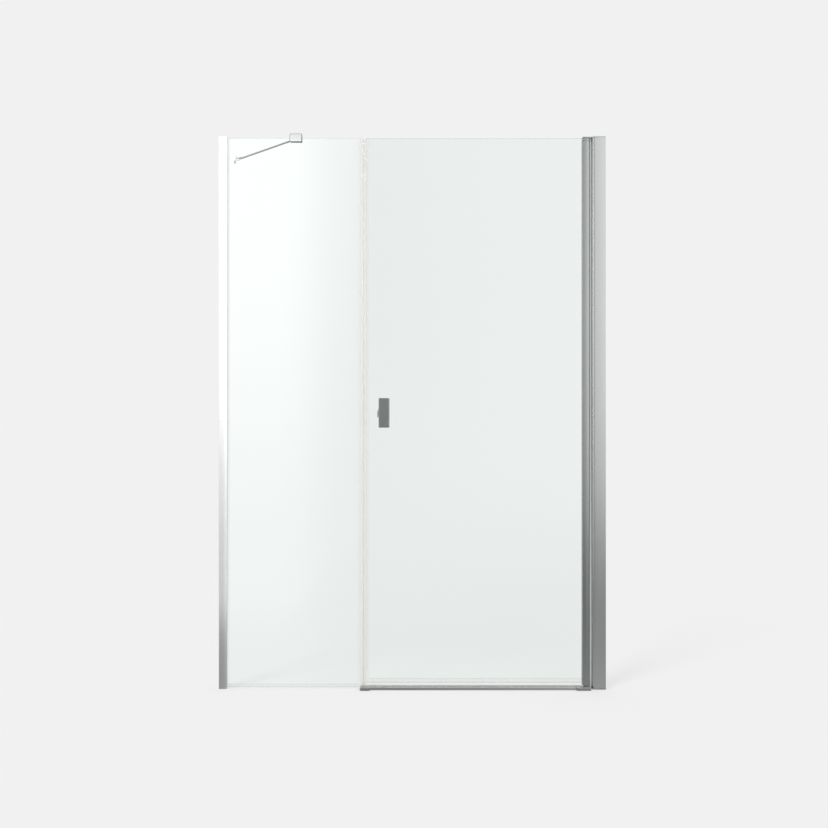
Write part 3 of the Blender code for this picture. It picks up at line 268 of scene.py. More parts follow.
def add_extrusion(work, corners, matrix, length, steps=ARC_STEPS):
    """A section of (x, y) or (x, y, radius) corners drawn out along the matrix's Z axis. Each radius in
    turn rounds the long edges that stand on its own corners."""
    face = work.faces.new([work.verts.new(matrix @ Vector((c[0], c[1], 0.0))) for c in corners])
    top = [v for v in bmesh.ops.extrude_face_region(work, geom=[face])["geom"]
           if isinstance(v, bmesh.types.BMVert)]
    bmesh.ops.translate(work, verts=top, vec=matrix.to_3x3() @ Vector((0.0, 0.0, length)))
    back = matrix.inverted()
    for radius in sorted({c[2] for c in corners if len(c) > 2}):
        wanted = [Vector(c[:2]) for c in corners if len(c) > 2 and c[2] == radius]
        edges = [e for v in top if any(((back @ v.co).xy - w).length < NEAR for w in wanted)
                 for e in v.link_edges if (e.other_vert(v).co - v.co).length > length / 2
                 and ((back @ e.other_vert(v).co).xy - (back @ v.co).xy).length < NEAR]
        made = bmesh.ops.bevel(work, geom=edges, offset=radius, offset_type="OFFSET", segments=steps,
                               profile=0.5, affect="EDGES", material=-1)
        top = [v for v in dict.fromkeys([*top, *made["verts"]])
               if v.is_valid and abs((back @ v.co).z - length) < NEAR]


def soften(work, width, steps):
    """Rounds every sharp edge that the shape has so far."""
    edges = [e for e in work.edges if e.is_manifold and e.calc_face_angle(0.0) > SHARP]
    bmesh.ops.bevel(work, geom=edges, offset=width, offset_type="OFFSET", segments=steps, profile=0.5,
                    affect="EDGES", material=-1, clamp_overlap=True)


def add_rod(work, matrix, radius, length, steps=ROUND_STEPS):
    """A round bar from the matrix's origin along its Z axis."""
    bmesh.ops.create_cone(work, cap_ends=True, segments=steps, radius1=radius, radius2=radius, depth=length,
                          matrix=matrix @ Matrix.Translation((0.0, 0.0, length / 2)))


def add_turned(work, profile, matrix, steps=ROUND_STEPS):
    """A profile of (radius, height) points spun about the matrix's Z axis."""
    points = [work.verts.new((radius, 0.0, height)) for radius, height in profile]
    edges = [work.edges.new(pair) for pair in zip(points, points[1:])]
    before = set(work.verts) - set(points)
    bmesh.ops.spin(work, geom=points + edges, cent=(0, 0, 0), axis=(0, 0, 1), angle=2 * math.pi,
                   steps=steps, use_merge=True)
    spun = [v for v in work.verts if v not in before]
    bmesh.ops.remove_doubles(work, verts=spun, dist=SAME_POINT)
    bmesh.ops.transform(work, matrix=matrix, verts=[v for v in work.verts if v not in before])


def add_block(work, low, high):
    """A block between its lowest and its highest corner."""
    low, high = Vector(low), Vector(high)
    stretched = Matrix.Translation((low + high) / 2) @ Matrix.Diagonal((*(high - low), 1.0))
    bmesh.ops.create_cube(work, size=1.0, matrix=stretched)


def sink(work, edges, outlines, depth):
    """Fills the flat ring between outer edges and sunk outlines, and gives each of these a floor."""
    inner = [edge for outline in outlines for edge in outline]
    bmesh.ops.triangle_fill(work, use_beauty=True, edges=[*edges, *inner])
    for outline in outlines:
        walls = bmesh.ops.extrude_edge_only(work, edges=outline)["geom"]
        bmesh.ops.translate(work, verts=[v for v in walls if isinstance(v, bmesh.types.BMVert)], vec=depth)
        bmesh.ops.contextual_create(work, geom=[e for e in walls if isinstance(e, bmesh.types.BMEdge)])


def new_object(name, data):
    """A new object in the scene."""
    made = bpy.data.objects.new(name, data)
    bpy.context.scene.collection.objects.link(made)
    return made


def to_object(name, work, material):
    """Turns a shape into an object of one material."""
    mesh = bpy.data.meshes.new(name)
    work.to_mesh(mesh)
    work.free()
    mesh.materials.append(material)
    return new_object(name, mesh)


def piece(name, work, finish, body, node, edge=EDGE, steps=2):
    """Closes up a shape, gives it its finish and eased edges, sets it riding on its body and puts it in
    its CAD node's place."""
    bmesh.ops.remove_doubles(work, verts=work.verts, dist=SAME_POINT)
    bmesh.ops.recalc_face_normals(work, faces=work.faces)
    made = to_object(name, work, FINISH[finish])
    made.data.shade_smooth()
    if edge:
        bevel = made.modifiers.new("eased edges", "BEVEL")
        bevel.width, bevel.segments, bevel.limit_method = edge, steps, "ANGLE"
        bevel.angle_limit = SHARP
    else:
        made.data.set_sharp_from_angle(angle=SHARP)
    weigh = made.modifiers.new("flat faces stay flat", "WEIGHTED_NORMAL")
    weigh.keep_sharp = True
    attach(made, body)
    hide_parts(node)
    return made


# Glass panes and clear seals

CLEAR = 0.3 * MM
ARRIS = 0.6 * MM
FACING = 0.9
SEAL_WALL = 0.9 * MM
SEAL_MOUTH_ROUND = 0.3 * MM
SEAL_NOSE_ROUND = 1.2 * MM
SEAL_EDGE = 0.1 * MM
FOOT_EDGE = 0.15 * MM
SWEEP_BASE = 3 * MM
SWEEP_LIP_ROOT = 0.6 * MM
SWEEP_LIP_TIP = (-1.6 * MM, -0.4 * MM)


def pane(name, node, body):
    """A pane with its ground arrises. Its front and back are clear, and its rim has the green of the
    glass's edge."""
    work = bmesh.new()
    add_block(work, *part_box(node))
    soften(work, ARRIS, steps=1)
    made = piece(name, work, "glass", body, node, edge=0.0)
    made.data.materials.append(FINISH["glass_edge"])
    for face in made.data.polygons:
        face.use_smooth = False
        face.material_index = 0 if abs(face.normal.y) > FACING else 1
    made.modifiers.clear()
    let_light_through(made)


def let_light_through(made):
    """Clear pieces cast no grey shadow on the floor or on what stands behind them."""
    made.visible_shadow = False
    made.visible_diffuse = False


def closing_seal(name, node, body, edge_x, outward):
    """Clear strip gripping a glass edge, with a rounded nose drawn solid about the magnetic strip."""
    low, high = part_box(node)
    half, inner = high.y, high.y - SEAL_WALL
    tip = (high.x if outward > 0 else low.x) - edge_x
    mouth = (low.x if outward > 0 else high.x) - edge_x
    base = CLEAR * outward
    work = bmesh.new()
    add_extrusion(work, [(mouth, -half, SEAL_MOUTH_ROUND), (tip, -half, SEAL_NOSE_ROUND),
                         (tip, half, SEAL_NOSE_ROUND), (mouth, half, SEAL_MOUTH_ROUND),
                         (mouth, inner), (base, inner), (base, -inner), (mouth, -inner)],
                  rising(edge_x, 0.0, low.z), high.z - low.z, steps=6)
    let_light_through(piece(name, work, "clear_seal", body, node, edge=SEAL_EDGE))


def edge_channel(name, node, body, base_top, base_bottom, lip=()):
    """Clear U section along a pane's bottom edge; lip is an outline under its base."""
    low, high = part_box(node)
    half, inner = high.y, high.y - SEAL_WALL
    work = bmesh.new()
    add_extrusion(work, [(-half, base_bottom), *lip, (half, base_bottom), (half, high.z), (inner, high.z),
                         (inner, base_top), (-inner, base_top), (-inner, high.z), (-half, high.z)],
                  rightwards(low.x), high.x - low.x)
    let_light_through(piece(name, work, "clear_seal", body, node, edge=FOOT_EDGE))


def glass_and_seals():
    """Both panes, the two seals that close on each other and the two along the bottom edges."""
    pane("side_panel_pane", "side_panel_glass", "frame")
    pane("door_pane", "door_glass", "door")
    side_glass, door_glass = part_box("side_panel_glass"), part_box("door_glass")
    closing_seal("side_panel_seal", "side_panel_closing_seal", "frame", side_glass[1].x, 1)
    closing_seal("door_seal", "door_closing_seal", "door", door_glass[0].x, -1)
    edge_channel("side_panel_foot", "side_panel_bottom_seal", "frame", side_glass[0].z - CLEAR, 0.0)
    base_top = door_glass[0].z - CLEAR
    base_bottom = base_top - SWEEP_BASE
    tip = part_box("door_sweep_seal")[0].z
    front, back = SWEEP_LIP_TIP
    lip = [(-SWEEP_LIP_ROOT, base_bottom), (front, tip), (back, tip), (SWEEP_LIP_ROOT, base_bottom)]
    edge_channel("door_sweep", "door_sweep_seal", "door", base_top, base_bottom, lip)


# Left wall

CHANNEL_WALL = 1.5 * MM
CHANNEL_ROUND = 0.4 * MM
TOP_CAP_PLATE = 2.7 * MM
TOP_CAP_EDGE = 0.4 * MM
CORNER_ROUND = 2 * MM


def left_wall():
    """Two U sections, the inner one standing in the outer and both open towards the glass, with a
    moulded cap on top."""
    for name, node in (("left_channel", "left_wall_channel"),
                       ("left_inner_profile", "left_glazing_profile")):
        low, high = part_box(node)
        half, inner = high.y, high.y - CHANNEL_WALL
        web = low.x + CHANNEL_WALL
        work = bmesh.new()
        add_extrusion(work, [(low.x, -half, CHANNEL_ROUND), (high.x, -half), (high.x, -inner),
                             (web, -inner), (web, inner), (high.x, inner), (high.x, half),
                             (low.x, half, CHANNEL_ROUND)],
                      rising(z=low.z), high.z - low.z, steps=4)
        piece(name, work, "anodised", "frame", node)
    low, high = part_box("left_top_cap")
    work = bmesh.new()
    add_extrusion(work, [(low.x, low.y), (high.x, low.y, CORNER_ROUND), (high.x, high.y, CORNER_ROUND),
                         (low.x, high.y)],
                  rising(z=high.z - TOP_CAP_PLATE), TOP_CAP_PLATE, steps=8)
    piece("left_cap", work, "silver_plastic", "frame", "left_top_cap",
          edge=TOP_CAP_EDGE, steps=3)


# Hinge side

BARREL = 12.5 * MM
LEAF_WIDTH = 29 * MM
LEAF_SWELL = 0.6 * MM
LEAF_CORNER_FALL = 0.8 * MM
GLAZING_POCKET = 5.2 * MM
CAP_POCKET = 3.3 * MM
POCKET_FLOOR = 7.2 * MM
HINGE_CAP_EDGE = 0.35 * MM
POST_WALL = 1.6 * MM
POST_SWELL = 0.8 * MM
POST_CORNER_FALL = 1.2 * MM
SHOULDER = 10 * MM
PIVOT_PLATE = 3.5 * MM
PIVOT_PLATE_ROUND = 6 * MM
PIVOT_PLATE_EDGE = 0.4 * MM
PIVOT_STAND = 7.5 * MM
HAIR = 0.01 * MM


def swelled(start, end, front, fall, steps=8):
    """Points across a front face that falls back, ever faster, from its start to its end."""
    shares = [i / steps for i in range(steps + 1)]
    return [(start + (end - start) * u, front + fall * u * u) for u in shares]


def turning_section(pocket):
    """The turning profile about its axis: round towards the post, the glass pocket at the left, and a
    front that swells slightly towards the round. The round stays a hair short of the section's half."""
    left, near_round = BARREL - LEAF_WIDTH, BARREL - 2 * HAIR
    front = swelled(0.0, left + CORNER_ROUND + CLEAR, -BARREL, LEAF_SWELL)
    return [(BARREL, -BARREL, near_round), (BARREL, BARREL, near_round), (left, BARREL, CORNER_ROUND),
            (left, pocket), (-POCKET_FLOOR, pocket), (-POCKET_FLOOR, -pocket), (left, -pocket),
            (left, LEAF_CORNER_FALL - BARREL, CORNER_ROUND), *reversed(front)]


def hinge_side():
    """The post, the turning profile beside it, and this profile's cap and pivot plate at each end."""
    low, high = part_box("right_hinge_post")
    left, back = low.x + POST_WALL, high.y - POST_WALL
    hollow_round = SHOULDER - POST_WALL
    front = swelled(high.x, low.x + SHOULDER + CLEAR, low.y, POST_SWELL)
    work = bmesh.new()
    add_extrusion(work, [*front, (low.x, low.y + POST_CORNER_FALL, SHOULDER), (low.x, high.y, SHOULDER),
                         (high.x, high.y), (high.x, back), (left, back, hollow_round),
                         (left, low.y + POST_WALL, hollow_round), (high.x, low.y + POST_WALL)],
                  rising(z=low.z), high.z - low.z)
    piece("hinge_post", work, "anodised", "frame", "right_hinge_post")
    low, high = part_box("door_turning_profile")
    axis_x = high.x - BARREL
    work = bmesh.new()
    add_extrusion(work, turning_section(GLAZING_POCKET), rising(axis_x, 0.0, low.z), high.z - low.z)
    piece("turning_profile", work, "anodised_leaf", "door", "door_turning_profile")
    ends = (("lower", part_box("lower_hinge_cap")[0].z, low.z - CLEAR),
            ("upper", high.z + CLEAR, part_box("upper_hinge_cap")[1].z))
    for side, bottom, top in ends:
        work = bmesh.new()
        add_extrusion(work, turning_section(CAP_POCKET), rising(axis_x, 0.0, bottom), top - bottom)
        piece(side + "_turning_cap", work, "deeper_silver_leaf_and_shade", "door", side + "_hinge_cap",
              edge=HINGE_CAP_EDGE)
        pivot_plate(side, axis_x)


def pivot_plate(side, axis_x):
    """Fixed plate over the post's end, with a tongue as wide as the turning profile that carries the
    pivot, and on the lower one a round stand under the profile's cap. The neck is where the profile's
    width meets the post's shoulder."""
    node = side + "_pivot_bracket"
    low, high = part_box(node)
    post_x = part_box("right_hinge_post")[0].x
    bottom = low.z if side == "lower" else high.z - PIVOT_PLATE
    neck = post_x + SHOULDER - math.sqrt(SHOULDER ** 2 - (BARREL + SHOULDER - high.y) ** 2)
    work = bmesh.new()
    add_extrusion(work, [(high.x, low.y), (neck, low.y, PIVOT_PLATE_ROUND), (neck, -BARREL),
                         (low.x, -BARREL, CORNER_ROUND), (low.x, BARREL, CORNER_ROUND), (neck, BARREL),
                         (neck, high.y, PIVOT_PLATE_ROUND - HAIR), (high.x, high.y)],
                  rising(z=bottom), PIVOT_PLATE, steps=12)
    if side == "lower":
        add_rod(work, rising(axis_x, 0.0, bottom + PIVOT_PLATE), BARREL - CLEAR, PIVOT_STAND)
    # The lower plate takes the deeper silver as painted shade. The upper plate has the pale silver of the
    # same part.
    finish = {"upper": "silver_plastic", "lower": "deeper_silver_leaf_and_shade"}[side]
    piece(side + "_pivot_plate", work, finish, "frame", node, edge=PIVOT_PLATE_EDGE,
          steps=3)


# Threshold

NOSE_HEIGHT = 10.5 * MM
NOSE_LEAN = 0.8 * MM
NOSE_ROUND = 0.8 * MM
RIDGE_FRONT = 6 * MM
RIDGE_ROUND = 3 * MM
END_CORNER = 6 * MM
END_EDGE = 1.6 * MM


def threshold():
    """A low strip, its top sloping down to the front, with a moulded cover on each end. Each cover runs
    outwards in front of the piece beside it, and stops short of that piece behind."""
    low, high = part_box("threshold_bar")
    work = bmesh.new()
    add_extrusion(work, [(high.y, low.z), (high.y, high.z, NOSE_ROUND), (-RIDGE_FRONT, high.z, RIDGE_ROUND),
                         (low.y + NOSE_LEAN, NOSE_HEIGHT, NOSE_ROUND), (low.y, low.z)],
                  rightwards(low.x), high.x - low.x, steps=8)
    piece("threshold", work, "anodised_lying", "frame", "threshold_bar")
    seal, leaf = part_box("side_panel_closing_seal")[1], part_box("door_turning_profile")[0]
    for node in ("threshold_left_end", "threshold_right_end"):
        low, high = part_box(node)
        if node == "threshold_left_end":
            outer, inner = low.x, high.x
            step, front = seal.x + CLEAR, -seal.y - CLEAR
        else:
            outer, inner = high.x, low.x
            step, front = leaf.x - CLEAR, -BARREL - CLEAR
        work = bmesh.new()
        add_extrusion(work, [(inner, high.y), (step, high.y), (step, front), (outer, front),
                             (outer, low.y, END_CORNER), (inner, low.y)],
                      rising(z=low.z), high.z - low.z, steps=12)
        # The covers take the deeper silver as painted shade at the floor, like the lower pivot plate.
        piece(node + "_cover", work, "deeper_silver_leaf_and_shade", "frame", node, edge=END_EDGE, steps=5)


# Handle

HANDLE_PLATE = 7 * MM
HANDLE_SOFT = 2.2 * MM
HANDLE_EDGE = 0.4 * MM
HALF_BOLT_SPACING = 32 * MM
HANDLE_POST_RADIUS = 7 * MM
HANDLE_POST_SUNK = 1 * MM
BOLT_HOLE_RADIUS = 5.8 * MM
BOLT_HOLE_DEPTH = 2.8 * MM
THUMB_ROOT = 10 * MM
THUMB_HALF_HEIGHT = 16.5 * MM
THUMB_TAPER = (4 * MM, 12 * MM)
THUMB_THICK = 3.5 * MM
THUMB_ROUNDS = (1.5 * MM, 4 * MM)


def handle():
    """Softly rounded plates held off the glass on round posts, with a thumb lip on the outer one and
    two sunk bolt holes in the inner one."""
    low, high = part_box("handle_inner")
    middle = (low + high) / 2
    near = high.y - HANDLE_PLATE
    sunk = near + HANDLE_POST_SUNK
    levels = (middle.z - HALF_BOLT_SPACING, middle.z + HALF_BOLT_SPACING)
    for name, node, side in (("handle_front", "handle_outer", -1), ("handle_back", "handle_inner", 1)):
        work = bmesh.new()
        face, root = sorted((side * near, side * high.y))
        add_block(work, (low.x, face, low.z), (high.x, root, high.z))
        soften(work, HANDLE_SOFT, steps=6)
        if side > 0:
            sink_bolt_holes(work, [backwards(middle.x, high.y, z) for z in levels])
        for z in levels:
            start = min(side * low.y, side * sunk)
            add_rod(work, backwards(middle.x, start, z), HANDLE_POST_RADIUS, sunk - low.y)
        if side < 0:
            add_thumb_lip(work)
        piece(name, work, "handle_metal", "door", node, edge=HANDLE_EDGE, steps=3)


def sink_bolt_holes(work, places):
    """Round holes with flat floors in the plate's widest face, which looks back into the shower."""
    flat = max(work.faces, key=lambda f: f.calc_area() * f.normal.y)
    rim = list(flat.edges)
    bmesh.ops.delete(work, geom=[flat], context="FACES_ONLY")
    holes = [bmesh.ops.create_circle(work, segments=48, radius=BOLT_HOLE_RADIUS, matrix=place)["verts"]
             for place in places]
    outlines = [list(dict.fromkeys(e for v in hole for e in v.link_edges)) for hole in holes]
    sink(work, rim, outlines, (0.0, -BOLT_HOLE_DEPTH, 0.0))


def add_thumb_lip(work):
    """Tab on the plate's closing side, tapered at its top."""
    low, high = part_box("handle_outer")
    middle = (low.z + high.z) / 2
    bottom, top = middle - THUMB_HALF_HEIGHT, middle + THUMB_HALF_HEIGHT
    root = low.x + THUMB_ROOT
    front = low.y + (HANDLE_PLATE - THUMB_THICK) / 2
    across, down = THUMB_TAPER
    lower_round, upper_round = THUMB_ROUNDS
    add_extrusion(work, [(low.x, -bottom, lower_round), (low.x, down - top, upper_round),
                         (low.x + across, -top), (root, -top), (root, -bottom)],
                  backwards(0.0, front, 0.0), THUMB_THICK, steps=6)


# Support bar, clamp and wall bracket

PIVOT_GLASS = Vector((-421.5, 21.0, 2003.0)) * MM
PIVOT_WALL = Vector((-684.0, 296.0, 2003.0)) * MM
BAR_RADIUS = 6 * MM
BAR_EDGE = 0.3 * MM
BAR_START = 16.3 * MM
EYE_RADIUS = 4.8 * MM
EYE_THICK = 5 * MM
EYE_REACH = 14 * MM
EYE_COLLAR = (12 * MM, 4 * MM)
EYE_EDGE = 0.6 * MM
LUG_LEVELS = (-6.8 * MM, 2.8 * MM)
LUG_THICK = 4 * MM
LUG_SUNK = 2 * MM
CLAMP_HALF = 12 * MM
CLAMP_SOFT = 3.2 * MM
CLAMP_SLOT = 5.1 * MM
CLAMP_EDGE = 0.5 * MM
COVER_WALL = 1 * MM
COVER_OPENING = 9.8 * MM
COVER_ROUND = 2 * MM
BASE_RADIUS = 18 * MM
BASE_THICK = 4 * MM
BASE_LUG_SUNK = 1 * MM
BASE_EDGE = 0.5 * MM


def add_tongue(work, pivot, direction, reach, level, thick):
    """A flat tongue, round about its pivot and straight to its reach."""
    turn = Matrix.Rotation(math.atan2(direction.y, direction.x), 4, "Z")
    near_round = EYE_RADIUS - HAIR
    add_extrusion(work, [(-EYE_RADIUS, -EYE_RADIUS, near_round), (reach, -EYE_RADIUS), (reach, EYE_RADIUS),
                         (-EYE_RADIUS, EYE_RADIUS, near_round)],
                  Matrix.Translation(pivot + Vector((0.0, 0.0, level))) @ turn, thick, steps=12)


def clamp():
    """Saddle over the glass, rounded like a pebble, with its fork behind. The block is cut along the
    slot's walls and roof, what is between them is taken out, and the cut is closed again."""
    low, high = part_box("bar_clamp_body")
    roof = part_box("bar_clamp_liner")[1].z + CLEAR
    work = bmesh.new()
    add_block(work, (low.x, -CLAMP_HALF, low.z), (high.x, CLAMP_HALF, high.z))
    soften(work, CLAMP_SOFT, steps=8)
    back, up = Vector((0.0, 1.0, 0.0)), Vector((0.0, 0.0, 1.0))
    walls, top = [(back, -CLAMP_SLOT), (back, CLAMP_SLOT)], (up, roof)
    for across, level in (*walls, top):
        bmesh.ops.bisect_plane(work, geom=[*work.verts, *work.edges, *work.faces],
                               plane_co=across * level, plane_no=across)
    middles = [(face, face.calc_center_median()) for face in work.faces]
    gone = [face for face, middle in middles if abs(middle.y) < CLAMP_SLOT and middle.z < roof]
    bmesh.ops.delete(work, geom=gone, context="FACES")
    for across, level in (top, *walls):
        rim = [e for e in work.edges
               if e.is_boundary and all(abs(v.co.dot(across) - level) < NEAR for v in e.verts)]
        bmesh.ops.contextual_create(work, geom=rim)
    reach = PIVOT_GLASS.y - CLAMP_HALF + LUG_SUNK
    for level in LUG_LEVELS:
        add_tongue(work, PIVOT_GLASS, Vector((0.0, -1.0, 0.0)), reach, level, LUG_THICK)
    piece("clamp_saddle", work, "satin_clamp", "frame", "bar_clamp_body", edge=CLAMP_EDGE,
          steps=3)


def bar():
    """The round bar, and at each of its ends a collar with a flat eye."""
    run = (PIVOT_WALL - PIVOT_GLASS).normalized()
    turn = run.to_track_quat("Z", "Y").to_matrix().to_4x4()
    start, end = PIVOT_GLASS + run * BAR_START, PIVOT_WALL - run * BAR_START
    work = bmesh.new()
    add_rod(work, Matrix.Translation(start) @ turn, BAR_RADIUS, (end - start).length)
    piece("tie_bar", work, "chrome", "support_bar", "support_bar", edge=BAR_EDGE)
    for node, pivot, way in (("support_bar_glass_eye", PIVOT_GLASS, run),
                             ("support_bar_wall_eye", PIVOT_WALL, -run)):
        turn = way.to_track_quat("Z", "Y").to_matrix().to_4x4()
        place, length = EYE_COLLAR
        work = bmesh.new()
        add_tongue(work, pivot, way, EYE_REACH, -EYE_THICK / 2, EYE_THICK)
        add_rod(work, Matrix.Translation(pivot + way * place) @ turn, BAR_RADIUS, length)
        piece(node + "_end", work, "chrome", "support_bar", node, edge=EYE_EDGE, steps=3)


def wall_bracket():
    """A turned cover with an opening for the fork, and the base that carries the fork. The cover's
    rim is a quarter round with one point half-way."""
    low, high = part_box("wall_bracket_cover")
    outward = Matrix.Translation((low.x, PIVOT_WALL.y, PIVOT_WALL.z)) @ Matrix.Rotation(math.pi / 2, 4, "Y")
    outer, height = (high.z - low.z) / 2, high.x - low.x
    halfway = 0.3 * COVER_ROUND
    work = bmesh.new()
    profile = [(outer - COVER_WALL, 0.0), (outer, 0.0), (outer, height - COVER_ROUND),
               (outer - halfway, height - halfway), (outer - COVER_ROUND, height),
               (COVER_OPENING, height), (COVER_OPENING, height - COVER_WALL),
               (outer - COVER_WALL, height - COVER_WALL), (outer - COVER_WALL, 0.0)]
    add_turned(work, profile, outward, steps=96)
    piece("bracket_cover", work, "chrome", "wall_bracket", "wall_bracket_cover", edge=0.0)
    work = bmesh.new()
    add_rod(work, outward, BASE_RADIUS, BASE_THICK)
    reach = PIVOT_WALL.x - low.x - BASE_THICK + BASE_LUG_SUNK
    for level in LUG_LEVELS:
        add_tongue(work, PIVOT_WALL, Vector((-1.0, 0.0, 0.0)), reach, level, LUG_THICK)
    piece("bracket_base", work, "chrome", "wall_bracket", "wall_bracket_base", edge=BASE_EDGE, steps=3)


# Screws and pins

PAN_HEAD = (3.5 * MM, 1.8 * MM, 1.6 * MM)
PIN_HEAD = (4.2 * MM, 1.8 * MM, 2.5 * MM)
BOLT_HEAD = (5.5 * MM, 2.5 * MM, 3 * MM)
GRUB_HEAD = (3.0 * MM, 0.6 * MM, 2.8 * MM)
GRUB_LENGTH = 6.5 * MM
PIN_HEXAGON = 3 * MM
BOLT_HEXAGON = 4 * MM
GRUB_HEXAGON = 2.5 * MM
HEAD_OUTLINE = ((1.0, 0.0), (1.0, 0.5), (0.93, 0.83), (0.83, 1.0), (0.7, 1.0))
RECESS_DEPTH = 0.65
CROSS_REACH = 1.7 * MM
CROSS_HALF = 0.35 * MM


def headed_screw(node, matrix, form, length, recess, body):
    """A rounded head on a shank. The form is the head's radius, its height and the shank's radius, and
    the head's outline and its recess's depth are shares of these. The matrix's origin is under the head
    and its Z points out of it."""
    head, height, shank = form
    rounding = [(out * head, up * height) for out, up in HEAD_OUTLINE]
    work = bmesh.new()
    add_turned(work, [(0.0, -length), (shank, -length), (shank, 0.0), *rounding], Matrix(), steps=48)
    rim = [e for e in work.edges if e.is_boundary]
    points = [work.verts.new((x, y, height)) for x, y in recess]
    outline = [work.edges.new(pair) for pair in zip(points, points[1:] + points[:1])]
    sink(work, rim, [outline], (0.0, 0.0, -RECESS_DEPTH * height))
    bmesh.ops.transform(work, matrix=matrix, verts=work.verts)
    piece(node + "_headed", work, "steel", body, node, edge=0.0)


def hexagon(across):
    """The outline of a hexagon recess, from the width across its flats."""
    radius = across / math.sqrt(3)
    turns = [math.radians(angle) for angle in range(0, 360, 60)]
    return [(radius * math.cos(turn), radius * math.sin(turn)) for turn in turns]


def cross(reach, half):
    """The outline of a cross recess."""
    arm = [(reach, -half), (reach, half), (half, half)]
    turns = [(1, 0, 0, 1), (0, -1, 1, 0), (-1, 0, 0, -1), (0, 1, -1, 0)]
    return [(a * x + b * y, c * x + d * y) for a, b, c, d in turns for x, y in arm]


def fasteners():
    """The side screws, the pivot brackets' screws, the bar's pins and the handle's bolts, each where its
    CAD box is, and the clamp's grub screws, which show just proud of its back."""
    side_screws = [f"{place}_screw_{number}" for place in ("left_profile", "right_post")
                   for number in (1, 2, 3)]
    for node in (*side_screws, "pivot_bracket_screw_1", "pivot_bracket_screw_2"):
        low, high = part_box(node)
        centre, under = (low + high) / 2, high.y - PAN_HEAD[1]
        headed_screw(node, backwards(centre.x, under, centre.z), PAN_HEAD, under - low.y,
                     cross(CROSS_REACH, CROSS_HALF), "frame")
    for node, pivot, body in (("bar_clamp_pin", PIVOT_GLASS, "frame"),
                              ("wall_bracket_pin", PIVOT_WALL, "wall_bracket")):
        low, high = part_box(node)
        under = high.z - PIN_HEAD[1]
        headed_screw(node, rising(pivot.x, pivot.y, under), PIN_HEAD, under - low.z,
                     hexagon(PIN_HEXAGON), body)
    for node in ("handle_lower_bolt", "handle_upper_bolt"):
        low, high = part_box(node)
        centre, under = (low + high) / 2, high.y - BOLT_HEAD[1]
        headed_screw(node, backwards(centre.x, under, centre.z), BOLT_HEAD, under - low.y,
                     hexagon(BOLT_HEXAGON), "door")
    for node in ("bar_clamp_screw_1", "bar_clamp_screw_2"):
        centre = sum(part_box(node), Vector()) / 2
        headed_screw(node, backwards(centre.x, CLAMP_HALF, centre.z), GRUB_HEAD, GRUB_LENGTH,
                     hexagon(GRUB_HEXAGON), "frame")


# Camera, room light, reflector and floor

SENSOR_WIDTH = 36.0
LENS = 40.92
CAMERA_PLACE = (0.0066, -3.418, 0.9957)
COVE = 0.880
COVE_IN_REFLECTIONS = 1.33
LOW_ACROSS = 0.62
KEY_STRENGTH = 0.60
KEY_WIDTH = math.radians(18)
KEY_WAY = (0.75, 0.9, -1.3)


def camera():
    """Square on to the front, at the height and distance that the photograph was taken from."""
    data = bpy.data.cameras.new("camera")
    data.sensor_width = SENSOR_WIDTH
    data.lens = LENS
    view = new_object("camera", data)
    view.location = CAMERA_PLACE
    view.rotation_euler = (math.pi / 2, 0.0, 0.0)
    bpy.context.scene.camera = view


